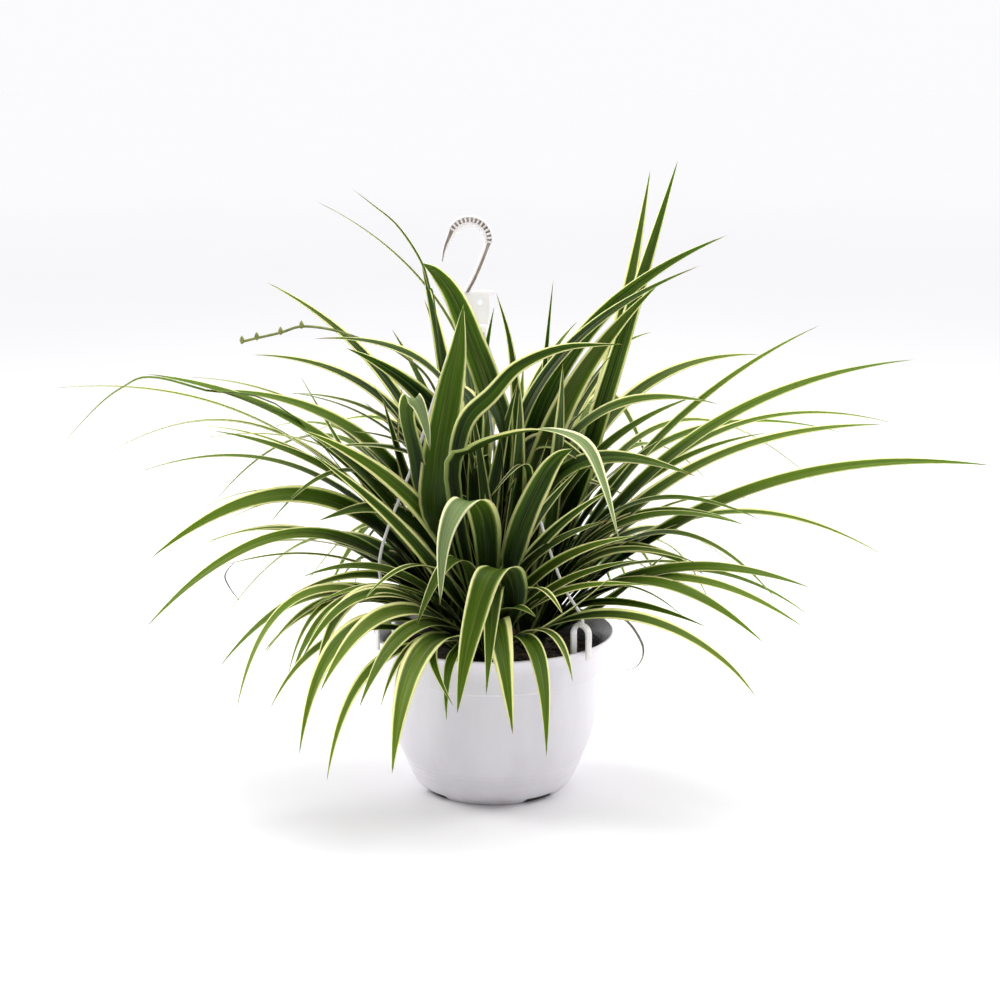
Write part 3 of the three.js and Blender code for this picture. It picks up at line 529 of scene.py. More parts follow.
def drawer(seed):
    """Seeded draws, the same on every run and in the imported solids."""
    state = seed

    def draw(low, high):
        nonlocal state
        state = (state * DRAW_FACTOR + DRAW_STEP) % DRAW_STATES
        return low + (high - low) * (state / DRAW_STATES)

    return draw


def curve_through(points):
    """A smooth curve through the points, as a function that goes from the first at 0 to the last at 1."""
    ends = [points[0] * 2 - points[1]] + list(points) + [points[-1] * 2 - points[-2]]
    spans = len(points) - 1

    def at(share):
        span = int(clamp(share * spans, 0, spans - 1))
        t = share * spans - span
        a, b, c, d = ends[span:span + 4]
        bent = (c - a) * t + (2 * a - 5 * b + 4 * c - d) * t ** 2 + (3 * b - a - 3 * c + d) * t ** 3
        return b + 0.5 * bent

    return at


def smooth_path(points, count):
    """Points along a smooth curve through places in space."""
    curve = curve_through([Vector(point) for point in points])
    return [curve(i / count) for i in range(count + 1)]


def profile_path(places, count):
    """Points along a smooth curve through places across and up."""
    return smooth_path([(across, 0, up) for across, up in places], count)


def around(radius, turn):
    """The two coordinates of a place on a circle, for a turn in radians."""
    return radius * math.cos(turn), radius * math.sin(turn)


def circle(radius, count):
    return [around(radius, 2 * math.pi * i / count) for i in range(count)]


def add_object(name, data):
    made = bpy.data.objects.new(name, data)
    bpy.context.scene.collection.objects.link(made)
    return made


def baked(piece):
    """The mesh that a piece shows, with its modifiers or its curve worked out."""
    bpy.context.view_layer.update()
    return bpy.data.meshes.new_from_object(piece.evaluated_get(bpy.context.evaluated_depsgraph_get()))


def turn_outwards(mesh):
    """Makes every face of a closed mesh look out."""
    faces = bmesh.new()
    faces.from_mesh(mesh)
    bmesh.ops.recalc_face_normals(faces, faces=faces.faces)
    faces.to_mesh(mesh)
    faces.free()


class Shape:
    """Points in millimetres, faces, and what each point and face carries, gathered into one mesh."""

    def __init__(self):
        self.points = []
        self.faces = []
        self.looks = []
        self.places = []
        self.characters = []

    def add_point(self, point, place=(0, 0), character=(0, 0, 0, 0)):
        self.points.append(point)
        self.places.append(place)
        self.characters.append(character)
        return len(self.points) - 1

    def add_ring(self, places):
        return [self.add_point(Vector(place)) for place in places]

    def add_face(self, corners, look=0):
        self.faces.append(tuple(corners))
        self.looks.append(look)

    def close_ends(self, rings):
        self.add_face(reversed(rings[0]))
        self.add_face(rings[-1])

    def join_rings(self, rings, looks=None):
        """Quads between rings of points. A ring may be one point, which then closes the end."""
        for ring, following in zip(rings, rings[1:]):
            count = max(len(ring), len(following))
            for i in range(count):
                j = (i + 1) % count
                look = looks[i] if looks else 0
                if len(ring) == 1:
                    self.add_face((ring[0], following[j], following[i]), look)
                elif len(following) == 1:
                    self.add_face((ring[i], ring[j], following[0]), look)
                else:
                    self.add_face((ring[i], ring[j], following[j], following[i]), look)

    def to_object(self, name, materials, smooth=True):
        mesh = bpy.data.meshes.new(name)
        mesh.from_pydata([tuple(point * MM) for point in self.points], [], self.faces)
        mesh.polygons.foreach_set("use_smooth", [smooth] * len(self.faces))
        mesh.polygons.foreach_set("material_index", self.looks)
        for material in materials:
            mesh.materials.append(material)
        self.write_places(mesh)
        mesh.validate()
        turn_outwards(mesh)
        mesh.update()
        return add_object(name, mesh)

    def write_places(self, mesh):
        layer = mesh.uv_layers.new(name="blade")
        corners = [0] * len(mesh.loops)
        mesh.loops.foreach_get("vertex_index", corners)
        layer.data.foreach_set("uv", [value for corner in corners for value in self.places[corner]])
        attribute = mesh.attributes.new("character", "FLOAT_COLOR", "POINT")
        attribute.data.foreach_set("color", [value for character in self.characters for value in character])


def dress(piece, slot, *nodes):
    """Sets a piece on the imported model's body, in place of the nodes that it stands for."""
    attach(piece, "root")
    if nodes:
        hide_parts(*nodes)


# Materials

class Nodes:
    """A tree of nodes, and ways to add to it."""

    def __init__(self, tree):
        self.tree = tree

    def add(self, kind, **settings):
        node = self.tree.nodes.new("ShaderNode" + kind)
        for name, value in settings.items():
            setattr(node, name, value)
        return node

    def feed(self, socket, value):
        if isinstance(value, bpy.types.NodeSocket):
            self.tree.links.new(value, socket)
        elif isinstance(value, (tuple, list)) and len(value) == 3 and len(socket.default_value) == 4:
            socket.default_value = (*value, 1)
        else:
            socket.default_value = value

    def fill(self, node, *values):
        """Feeds a node's first sockets, and gives its first result."""
        for socket, value in zip(node.inputs, values):
            self.feed(socket, value)
        return node.outputs[0]

    def place(self, kind="Object"):
        return self.add("TexCoord").outputs[kind]

    def split(self, vector):
        node = self.add("SeparateXYZ")
        self.fill(node, vector)
        return node.outputs[:]

    def join(self, *sides):
        return self.fill(self.add("CombineXYZ"), *sides)

    def math(self, operation, first, second=0.0):
        return self.fill(self.add("Math", operation=operation), first, second)

    def plus(self, first, second):
        return self.math("ADD", first, second)

    def minus(self, first, second):
        return self.math("SUBTRACT", first, second)

    def times(self, first, second):
        return self.math("MULTIPLY", first, second)

    def distance(self, east, north):
        return self.math("SQRT", self.plus(self.times(east, east), self.times(north, north)))

    def ramp(self, value, low, high, to_low=0.0, to_high=1.0):
        """Goes smoothly from to_low to to_high as the value goes from low to high."""
        node = self.add("MapRange", interpolation_type="SMOOTHSTEP")
        return self.fill(node, value, low, high, to_low, to_high)

    def mix(self, share, first, second, blend="MIX"):
        node = self.add("Mix", data_type="RGBA", blend_type=blend)
        colours = [socket for socket in node.inputs if socket.type == "RGBA"]
        for socket, value in zip((node.inputs[0], *colours), (share, first, second)):
            self.feed(socket, value)
        return next(socket for socket in node.outputs if socket.type == "RGBA")

    def fade(self, colour, other, value, low=0.3, high=0.7, most=1.0, blend="MIX"):
        """Takes a colour to another one, at most by a share, as the value goes from low to high."""
        return self.mix(self.ramp(value, low, high, 0.0, most), colour, other, blend)


class Look(Nodes):
    """A material made of nodes."""

    def __init__(self, name):
        self.material = bpy.data.materials.new(name)
        self.material.use_nodes = True
        super().__init__(self.material.node_tree)
        self.tree.nodes.clear()
        self.shader = self.add("BsdfPrincipled")
        self.tree.links.new(self.shader.outputs["BSDF"], self.add("OutputMaterial").inputs["Surface"])

    def set(self, **values):
        """Values or sockets for the shader's own inputs, named with underscores for spaces."""
        for name, value in values.items():
            self.feed(self.shader.inputs[name.replace("_", " ")], value)

    def uv(self):
        return self.split(self.add("UVMap", uv_map="blade").outputs["UV"])

    def character(self):
        """The four numbers that each blade carries: tone, stripes, margin and dryness."""
        node = self.add("Attribute", attribute_name="character")
        return *self.split(node.outputs["Color"]), node.outputs["Alpha"]

    def scaled(self, vector, *scale):
        node = self.add("Mapping")
        node.inputs["Scale"].default_value = scale
        return self.fill(node, vector)

    def noise(self, vector, scale, detail=3.0, roughness=0.5):
        node = self.add("TexNoise")
        self.feed(node.inputs["Vector"], vector)
        for name, value in (("Scale", scale), ("Detail", detail), ("Roughness", roughness)):
            node.inputs[name].default_value = value
        return node.outputs["Fac"]

    def bump(self, height, distance, strength=1.0):
        node = self.add("Bump")
        node.inputs["Strength"].default_value = strength
        node.inputs["Distance"].default_value = distance
        self.feed(node.inputs["Height"], height)
        self.set(Normal=node.outputs["Normal"])


def read_blade(look):
    """What a leaf's material knows of its blade: the place on it, its character, and streaks along it."""
    across, along, _ = look.uv()
    tone, stripes, margin, dryness = look.character()
    east, north, height = look.split(look.place())
    seed = look.times(tone, 37.0)

    def streaks(count, run):
        return look.noise(look.join(look.times(across, count), look.times(along, run), seed), 1.0)

    # side is 0 on the midrib and 1 at both edges
    return SimpleNamespace(
        side=look.math("ABSOLUTE", look.minus(look.times(across, 2.0), 1.0)),
        along=along, height=height, reach=look.distance(east, north),
        tone=tone, stripes=stripes, margin=margin, dryness=dryness,
        fine=streaks(34.0, 1.5), broad=streaks(7.0, 2.2), waver=streaks(0.6, 9.0))


def leaf_green(look, blade, dark, light, bright, pale):
    """Streaked green, darkest down the middle of a blade."""
    streaked = look.plus(look.ramp(blade.broad, 0.42, 0.58, 0.0, 0.6),
                         look.ramp(blade.side, 0.3, 0.85, 0.0, 0.3))
    green = look.mix(look.plus(look.times(blade.tone, 0.32), streaked), dark, light)
    # painted light: the outer blades are brighter; some are young, and a few have yellowed
    green = look.fade(green, bright, blade.reach, 0.07, 0.25, 0.58)
    green = look.fade(green, bright, blade.tone, 0.8, 0.95, 0.2)
    green = look.fade(green, YELLOWED_TONE, blade.dryness, 0.93, 0.96, 0.25)
    # fine veins are dark, and some pale lines run beside the midrib
    green = look.fade(green, dark, blade.fine, 0.35, 0.7, 0.62)
    lines = look.ramp(look.plus(blade.fine, look.times(blade.stripes, 0.25)), 0.78, 0.86, 0.0, 0.4)
    green = look.mix(look.times(lines, look.ramp(blade.side, 0.7, 0.3)), green, pale)
    # the rib is a narrow, slightly paler line
    return look.fade(green, pale, blade.side, 0.06, 0.0, 0.12)


def leaf_margins(look, blade, green, pale, cream):
    """Cream margins of uneven width, with a pale green line inside each."""
    edge = look.plus(look.times(blade.margin, -0.28), 0.87)
    edge = look.plus(edge, look.times(look.minus(blade.waver, 0.5), 0.12))
    beyond = look.minus(blade.side, edge)
    colour = look.fade(green, pale, beyond, -0.13, 0.0, 0.55)
    return look.fade(colour, cream, beyond, -0.015, 0.045)


def leaf_shade(look, blade, colour):
    """Painted shade makes the crowded lower parts and the middle of the plant darker and greener; some tips
    are dry.
    """
    # painted shade: the colour is multiplied darker low on each blade and near the middle of the plant
    inner = look.times(look.ramp(blade.reach, 0.13, 0.05), look.ramp(blade.height, 0.37, 0.26))
    colour = look.fade(colour, CROWDED_SHADE_TINT, blade.along, 0.56, 0.13, 0.92, "MULTIPLY")
    colour = look.mix(look.times(inner, 0.72), colour, INNER_SHADE_TINT, "MULTIPLY")
    tip = look.plus(look.minus(blade.along, look.times(blade.dryness, 0.06)), look.times(blade.broad, 0.02))
    return look.fade(colour, BROWN_TONE, tip, 0.955, 0.985, 0.85)


def leaf_look(name, dark, light, bright, cream, roughness, silver):
    """One side of the blades. The outer half of an underside has a painted pale sheen."""
    look = Look(name)
    blade = read_blade(look)
    pale = look.mix(0.5, light, cream)
    green = leaf_green(look, blade, dark, light, bright, pale)
    # painted sheen: a pale streaked sheen over the outer half of a blade
    painted_sheen = look.times(look.ramp(blade.fine, 0.35, 0.65, silver, 0.35 * silver),
                       look.ramp(blade.along, 0.5, 0.66))
    green = look.mix(painted_sheen, green, PAINTED_SHEEN_TONE)
    colour = leaf_shade(look, blade, leaf_margins(look, blade, green, pale, cream))
    look.set(Base_Color=colour, Roughness=look.ramp(blade.fine, 0.2, 0.8, roughness - 0.06, roughness + 0.1))
    look.set(IOR=1.3, Specular_IOR_Level=0.35)
    look.set(Subsurface_Weight=0.3, Subsurface_Scale=0.002, Subsurface_Radius=(0.6, 1.0, 0.25))
    look.bump(look.plus(look.times(blade.fine, 0.5), blade.broad), 0.00025, 0.6)
    return look.material


def dry_leaf_look():
    look = Look("dry_leaf")
    streaks = look.noise(look.place(), 300.0)
    look.set(Base_Color=look.fade(*DRY_LEAF_TONES, streaks), Roughness=look.ramp(streaks, 0.3, 0.7, 0.7, 0.9))
    look.bump(streaks, 0.0004)
    return look.material


def stalk_look():
    look = Look("stalk")
    mottle = look.noise(look.place(), 160.0)
    look.set(Base_Color=look.fade(*STALK_TONES, mottle), Roughness=0.5)
    look.bump(mottle, 0.0002)
    return look.material


def pot_outside_look():
    """Satin white plastic: faint flow marks, a moulded skin, a little dust near the foot, and painted shade
    under it.
    """
    look = Look("pot_white")
    place = look.place()
    flow = look.noise(look.scaled(place, 14.0, 14.0, 3.0), 3.0, detail=4.0)
    skin = look.noise(place, 900.0, detail=2.0)
    marks = look.noise(look.scaled(place, 60.0, 60.0, 8.0), 1.0, detail=6.0, roughness=0.7)
    east, north, height = look.split(place)
    base = look.fade(look.fade(*POT_TONES, flow), POT_MARK_TONE, marks, 0.62, 0.8, 0.35)
    dust = look.times(look.ramp(height, 0.016, 0.0), look.ramp(marks, 0.4, 0.65))
    base = look.mix(look.times(dust, 0.3), base, DUST_TONE)
    # painted shade: the underside and the back wall of each notch are painted nearly black
    reach = look.distance(east, north)
    above_cone = look.minus(height, look.times(reach, FOOT_SHADE_SLOPE))
    foot_shade = look.times(look.math("GREATER_THAN", above_cone, FOOT_SHADE_OFFSET),
                      look.math("LESS_THAN", height, FOOT_SHADE_HEIGHT))
    base = look.mix(look.times(foot_shade, 0.95), base, FOOT_SHADE_TONE)
    look.set(Base_Color=base, Roughness=look.ramp(flow, 0.2, 0.8, 0.36, 0.5), Specular_IOR_Level=0.5)
    look.set(Subsurface_Weight=0.08, Subsurface_Scale=0.004)
    look.bump(look.plus(skin, look.times(flow, 3.0)), 0.00006, 0.7)
    return look.material


def pot_inside_look():
    """Glossy charcoal inner skin, with specks of soil where it was filled."""
    look = Look("pot_charcoal")
    place = look.place()
    specks = look.noise(place, 420.0, detail=4.0)
    flow = look.noise(look.scaled(place, 20.0, 20.0, 5.0), 2.0)
    _, _, height = look.split(place)
    soiled = look.times(look.ramp(specks, 0.52, 0.62), look.ramp(height, 0.127, 0.116))
    base = look.mix(soiled, look.fade(*CHARCOAL_TONES, flow), SPECK_TONE)
    look.set(Base_Color=base, Roughness=look.ramp(soiled, 0.0, 1.0, 0.24, 0.8))
    look.bump(look.plus(flow, look.times(specks, 0.4)), 0.0002, 0.5)
    return look.material


def hanger_look(name, low, high, roughness, glow=0.15, painted_glow=0.0):
    """Moulded white plastic, a little yellowed and scuffed. Light seeps through where it is thin, and a
    painted glow brightens it.
    """
    look = Look(name)
    place = look.place()
    cloud = look.noise(place, 70.0)
    scuffs = look.noise(look.scaled(place, 500.0, 500.0, 90.0), 1.0, detail=5.0)
    base = look.fade(look.fade(low, high, cloud), SCUFF_TONE, scuffs, 0.62, 0.75, 0.3)
    look.set(Base_Color=base, Roughness=look.ramp(scuffs, 0.3, 0.7, roughness, roughness + 0.15))
    look.set(Subsurface_Weight=glow, Subsurface_Scale=0.006, Subsurface_Radius=(1.0, 1.0, 1.0))
    # painted glow: the plastic gives off a faint light in its own colour
    look.set(Emission_Color=base, Emission_Strength=painted_glow)
    look.bump(scuffs, 0.00008, 0.6)
    return look.material


def soil_look(name, dark, light):
    look = Look(name)
    place = look.place()
    grain = look.noise(place, 260.0, detail=6.0, roughness=0.7)
    clumps = look.noise(place, 55.0, detail=3.0)
    base = look.fade(look.fade(dark, light, grain, 0.35, 0.72), dark, clumps, 0.45, 0.7, 0.6)
    look.set(Base_Color=base, Roughness=look.ramp(grain, 0.3, 0.7, 0.75, 0.97), Specular_IOR_Level=0.3)
    look.bump(grain, 0.0012)
    return look.material


def floor_look():
    """Pale sheet. It glows a little further out, so that it meets the room without a line."""
    look = Look("floor")
    place = look.place()
    east, north, _ = look.split(place)
    reach = look.distance(east, north)
    cloud = look.noise(place, 2.0)
    look.set(Base_Color=look.mix(cloud, *FLOOR_TONES), Roughness=0.9)
    look.set(Specular_IOR_Level=0.1, Emission_Color=FLOOR_GLOW_TINT)
    near = look.ramp(reach, *FLOOR_GLOW_REACH, 0.0, FLOOR_GLOW)
    look.set(Emission_Strength=look.plus(near, look.ramp(reach, *FAR_GLOW_REACH, 0.0, FAR_GLOW)))
    return look.material


# Pot

def wall_steps(radius, height):
    """Moulded detail on the outer wall: three ridges near the foot, and the edge of the collar."""
    for ridge in RIDGE_HEIGHTS:
        radius += RIDGE_DEPTH * math.exp(-((height - ridge) / RIDGE_SPREAD) ** 2)
    rise = clamp((height - COLLAR_HEIGHT) / COLLAR_RISE, 0, 1)
    return radius + COLLAR_DEPTH * rise * clamp((COLLAR_TOP - height) / COLLAR_FADE, 0, 1)


def pot_profile():
    """Radius, height and look of each ring, from the middle of the underside to the middle of the floor."""
    wall = profile_path(OUTER_WALL, OUTER_WALL_STEPS)[1:]
    profile = [(radius, height, 0) for radius, height in UNDERSIDE]
    profile += [(wall_steps(point.x, point.z), point.z, 0) for point in wall]
    for outline, steps, look in ((LIP, LIP_STEPS, 0), (INNER_WALL, INNER_WALL_STEPS, 1)):
        profile += [(point.x, point.z, look) for point in profile_path(outline, steps)[1:]]
    return profile + [(FLOOR_RING, FLOOR_HEIGHT, 1), (0, FLOOR_HEIGHT, 1)]


def notch_lift(x, y, radius):
    """How far the foot is cut away above this point: four wide, low notches."""
    if not NOTCH_BACK < radius < NOTCH_FRONT:
        return 0
    for turn in NOTCH_TURNS:
        east, north = around(1, math.radians(turn))
        inside = NOTCH_WIDTH / 2 + NOTCH_EASE - abs(x * north - y * east)
        if x * east + y * north > 0 and inside > 0:
            height = NOTCH_HEIGHT + NOTCH_SLOPE * (radius - NOTCH_BACK)
            return height * clamp(inside / NOTCH_EASE, 0, 1)
    return 0


def turned(shape, profile, sides, lift=None, across=0):
    """A turned body about an upright axis. The profile gives the radius, height and look of each ring."""
    rings = []
    for radius, height, _ in profile:
        places = circle(radius, sides if radius else 1)
        rings.append(shape.add_ring([
            (across + x, y, max(height, lift(x, y, radius)) if lift else height) for x, y in places]))
    for i, (ring, following) in enumerate(zip(rings, rings[1:])):
        shape.join_rings([ring, following], looks=[profile[i + 1][2]] * sides)


def drains():
    """Plugs that the drain holes are cut with."""
    shape = Shape()
    for turn in NOTCH_TURNS:
        east, north = around(DRAIN_REACH, math.radians(turn))
        places = [(east + x, north + y) for x, y in circle(DRAIN_RADIUS, DRAIN_SIDES)]
        rings = [shape.add_ring([(x, y, z) for x, y in places]) for z in DRAIN_SPAN]
        shape.join_rings(rings)
        shape.close_ends(rings)
    return shape.to_object("drains", [], smooth=False)


def cut(piece, tool):
    """Cuts the tool's shape out of the piece for good, and removes the tool."""
    modifier = piece.modifiers.new("cut", "BOOLEAN")
    modifier.object = tool
    modifier.solver = "EXACT"
    mesh = baked(piece)
    piece.modifiers.clear()
    piece.data = mesh
    bpy.data.objects.remove(tool)


def build_pot():
    shape = Shape()
    turned(shape, pot_profile(), POT_SIDES, notch_lift)
    pot = shape.to_object("flower_pot", [pot_outside_look(), pot_inside_look()])
    cut(pot, drains())
    dress(pot, "pot_plastic", "pot")


# Soil

def soil_top(x, y):
    """Height of the loose surface: low at the wall, heaped a little round the crowns."""
    reach = math.hypot(x, y) / SOIL_RADIUS
    rise = SOIL_HEIGHT - (SOIL_HEIGHT - SOIL_EDGE_HEIGHT) * reach ** 4
    return rise + SOIL_ROUGHNESS * noise.fractal(Vector((x, y, 0)) * SOIL_GRAIN, 0.6, 2.1, 5) - SOIL_SINK


def build_soil():
    shape = Shape()
    rings = [shape.add_ring([(0, 0, soil_top(0, 0))])]
    for ring in range(1, SOIL_RINGS + 1):
        places = circle(SOIL_RADIUS * ring / SOIL_RINGS, SOIL_TURNS)
        rings.append(shape.add_ring([(x, y, soil_top(x, y)) for x, y in places]))
    for radius, height in SOIL_SIDE:
        rings.append(shape.add_ring([(x, y, height) for x, y in circle(radius, SOIL_TURNS)]))
    rings.append(shape.add_ring([(0, 0, SOIL_BOTTOM)]))
    shape.join_rings(rings)
    soil = shape.to_object("potting_mix", [soil_look("soil", *SOIL_TONES)])
    dress(soil, "potting_mix", "potting_soil")


def add_crumb(shape, centre, size, draw):
    """A crumb or chip of bark: a rough six-sided lump."""
    flat = draw(*CRUMB_FLATNESS)
    turn = draw(0, 2 * math.pi)
    rings = []
    for level, reach in CRUMB_RINGS:
        ring = []
        for i in range(CRUMB_SIDES):
            out = size * reach * draw(*CRUMB_ROUGHNESS)
            east, north = around(out, turn + 2 * math.pi * i / CRUMB_SIDES)
            place = Vector((east * (1.6 - flat * 0.6), north, size * level * flat))
            ring.append(shape.add_point(centre + place))
        rings.append(ring)
    shape.join_rings(rings)
    shape.close_ends(rings)


def build_crumbs():
    shape = Shape()
    draw = drawer(CRUMB_SEED)
    for _ in range(CRUMB_COUNT):
        reach = (SOIL_RADIUS - CRUMB_EDGE) * math.sqrt(draw(0, 1))
        x, y = around(reach, draw(0, 2 * math.pi))
        size = draw(*CRUMB_SIZES) if draw(0, 1) < CRUMB_SHARE else draw(*CHIP_SIZES)
        add_crumb(shape, Vector((x, y, soil_top(x, y) + CRUMB_RISE * size)), size, draw)
    crumbs = shape.to_object("bark_crumbs", [soil_look("bark", *BARK_TONES)], smooth=False)
    dress(crumbs, "potting_mix")


# Hanger

def sweep(shape, path, section, side, looks=None):
    """Carries a section along a path: a list of (outwards, sideways), or a function of the share done."""
    rings = []
    for i, point in enumerate(path):
        tangent = (path[min(i + 1, len(path) - 1)] - path[max(i - 1, 0)]).normalized()
        outward = side.cross(tangent).normalized()
        outline = section(i / (len(path) - 1)) if callable(section) else section
        rings.append([shape.add_point(point + outward * out + side * across) for out, across in outline])
    shape.join_rings(rings, looks)
    shape.close_ends(rings)


def hook_path(count):
    x, z = HOOK_CENTRE
    first, last = HOOK_BEND
    bend = [around(HOOK_RADIUS, math.radians(first - (first - last) * i / HOOK_BEND_STEPS))
            for i in range(HOOK_BEND_STEPS + 1)]
    return profile_path(HOOK_TIP + [(x + across, z + up) for across, up in bend] + HOOK_LEG, count)


def hook_thickness(share):
    """The band is thin at its tip, deepest round the bend, and slimmer down the leg."""
    bent = lerp(HOOK_TIP_THICKNESS, HOOK_BEND_THICKNESS, smooth(share / HOOK_THICK_AT))
    return lerp(bent, HOOK_LEG_THICKNESS, smooth((share - HOOK_SLIMS_AT) / HOOK_SLIMS_OVER))


def hook_section(share):
    """A thin outer flange and a thick inner one joined by a web, with an open channel on both faces."""
    out, deep = hook_thickness(share) / 2, HOOK_DEPTH / 2
    high, low, web = out * HOOK_CHANNEL[1], out * HOOK_CHANNEL[0], HOOK_WEB / 2
    soft = HOOK_SOFT_EDGE
    half = [(-out, deep - soft), (soft - out, deep), (-high, deep), (-high, web), (-low, web), (-low, deep),
            (out - soft, deep), (out, deep - soft)]
    return [(out, -across) for out, across in half] + half[::-1]


def add_box(shape, centre, axes, sizes):
    """A small block with its axes turned as given."""
    corners = []
    for i in (-0.5, 0.5):
        for j in (-0.5, 0.5):
            for k in (-0.5, 0.5):
                corners.append(shape.add_point(centre + axes[0] * sizes[0] * i + axes[1] * sizes[1] * j
                                               + axes[2] * sizes[2] * k))
    a, b, c, d, e, f, g, h = corners
    for face in ((a, b, d, c), (e, g, h, f), (a, e, f, b), (c, d, h, g), (a, c, g, e), (b, f, h, d)):
        shape.add_face(face)


def add_ribs(shape):
    """Cross ribs that divide the channels round the bend like rungs."""
    x, z = HOOK_CENTRE
    low, high = (HOOK_BEND_THICKNESS / 2 * share for share in HOOK_CHANNEL)
    middle = HOOK_RADIUS + (low + high) / 2
    for i in range(RIB_COUNT):
        turn = math.radians(lerp(*RIB_TURNS, i / (RIB_COUNT - 1)))
        outward = Vector((math.cos(turn), 0, math.sin(turn)))
        along = Vector((-math.sin(turn), 0, math.cos(turn)))
        centre = Vector((x, 0, z)) + outward * middle
        sizes = (high - low + 2 * RIB_OVERLAP, RIB_WIDTH, HOOK_DEPTH - 2 * HOOK_SOFT_EDGE)
        add_box(shape, centre, (outward, along, Vector((0, 1, 0))), sizes)


def build_plate():
    """The flat tab below the hook, with its round eye and soft edges."""
    curve = bpy.data.curves.new("plate", "CURVE")
    curve.dimensions = "2D"
    curve.fill_mode = "BOTH"
    curve.extrude = (PLATE_THICKNESS / 2 - PLATE_SOFT_EDGE) * MM
    curve.bevel_depth = PLATE_SOFT_EDGE * MM
    curve.offset = -PLATE_SOFT_EDGE * MM
    curve.bevel_resolution = 2
    eye = [(EYE_AT[0] + x, EYE_AT[1] - y) for x, y in circle(EYE_RADIUS, 32)]
    for outline in (PLATE_OUTLINE, eye):
        spline = curve.splines.new("POLY")
        spline.points.add(len(outline) - 1)
        for point, (across, up) in zip(spline.points, outline):
            point.co = (across * MM, up * MM, 0, 1)
        spline.use_cyclic_u = True
    holder = add_object("plate", curve)
    mesh = baked(holder)
    bpy.data.objects.remove(holder)
    for vertex in mesh.vertices:
        vertex.co = (vertex.co.x, -vertex.co.z, vertex.co.y)
    return add_object("hanger_plate", mesh)


def hub_profile():
    inner = HUB_RADIUS - HUB_SOFT_EDGE
    return [(0, HUB_BOTTOM, 0), (inner, HUB_BOTTOM, 0), (HUB_RADIUS, HUB_BOTTOM + HUB_SOFT_EDGE, 0),
            (HUB_RADIUS, HUB_TOP - HUB_SOFT_EDGE, 0), (inner, HUB_TOP, 0), (0, HUB_TOP, 0)]


def build_hook(look, channel_shade_look):
    shape = Shape()
    # the channel strips take the second look, which is painted shade
    looks = [int(strip in HOOK_CHANNEL_STRIPS) for strip in range(len(hook_section(0)))]
    sweep(shape, hook_path(HOOK_STEPS), hook_section, Vector((0, 1, 0)), looks)
    add_ribs(shape)
    turned(shape, hub_profile(), 48, across=HUB_X)
    hook = shape.to_object("hanger_hook_band", [look, channel_shade_look], smooth=False)
    dress(hook, "hook_plastic", "hanger_hook")
    plate = build_plate()
    plate.data.materials.clear()
    plate.data.materials.append(look)
    dress(plate, "hook_plastic")


def strand_line(turn):
    """Direction and distance from the hub's axis to the clip on the rim, seen from above."""
    x, y = around(CLIP_REACH, math.radians(turn))
    return math.atan2(y, x - HUB_X), math.hypot(x - HUB_X, y)


def strap_section(width, thickness, soft):
    """A flat strap with rounded edges."""
    section = []
    for across, up, first in ((1, 1, 0), (-1, 1, 90), (-1, -1, 180), (1, -1, 270)):
        for step in range(4):
            turn = math.radians(first + 30 * step)
            section.append((up * (thickness / 2 - soft) + soft * math.sin(turn),
                            across * (width / 2 - soft) + soft * math.cos(turn)))
    return section[::-1]


def build_strand(name, turn, bulge, start, bow, look):
    """A thin strand from the hub, with the strap that hooks over the rim."""
    angle, reach = strand_line(turn)
    ahead = Vector((*around(1, angle), 0))
    side = Vector((-ahead.y, ahead.x, 0))
    inner, outer = reach - CLIP_INNER_LEG, reach + CLIP_OUTER_LEG
    middle, bend = (inner + outer) / 2, (outer - inner) / 2
    top = CLIP_SHOULDER + bend
    legs = (CLIP_BOTTOM + CLIP_SHOULDER) / 2
    turns = [around(bend, math.pi * (1 - i / CLIP_ARCH_STEPS)) for i in range(CLIP_ARCH_STEPS + 1)]
    arch = [(middle + out, CLIP_SHOULDER + up) for out, up in turns]
    clip = [(inner, CLIP_BOTTOM), (inner, legs)] + arch + [(outer, legs), (outer, CLIP_BOTTOM)]
    strand = [(STRAND_START, start)] + bow
    strand += [(STRAND_BEND[0] * reach + bulge, STRAND_BEND[1]), (middle - 1, top + 9), (middle, top - 0.3)]
    knob = [(middle, top + rise) for rise in KNOB_SPAN]
    shape = Shape()
    for places, steps, section in (
            (clip, STRAND_STEPS, strap_section(CLIP_WIDTH, CLIP_THICKNESS, CLIP_SOFT_EDGE)),
            (strand, STRAND_STEPS, circle(STRAND_RADIUS, STRAND_SIDES)),
            (knob, KNOB_STEPS, circle(KNOB_RADIUS, KNOB_SIDES))):
        path = smooth_path([Vector((HUB_X, 0, height)) + ahead * out for out, height in places], steps)
        sweep(shape, path, section, side)
    dress(shape.to_object(name.replace("hanger_", ""), [look]), "strand_plastic", name)


# Leaves

def held(distance, floor, ease):
    """Rises smoothly from floor: distances above floor + ease stay as they are."""
    if distance >= floor + ease:
        return distance
    return floor + ease * math.exp((distance - floor - ease) / ease)


def keep_in_sector(point, walls, margin):
    """Keeps a point of a blade on its own side of the two strands beside its crown."""
    for wall in walls:
        distance = (point.x - HUB_X) * wall.x + point.y * wall.y
        push = held(distance, margin, SECTOR_EASE) - distance
        point.x += push * wall.x
        point.y += push * wall.y


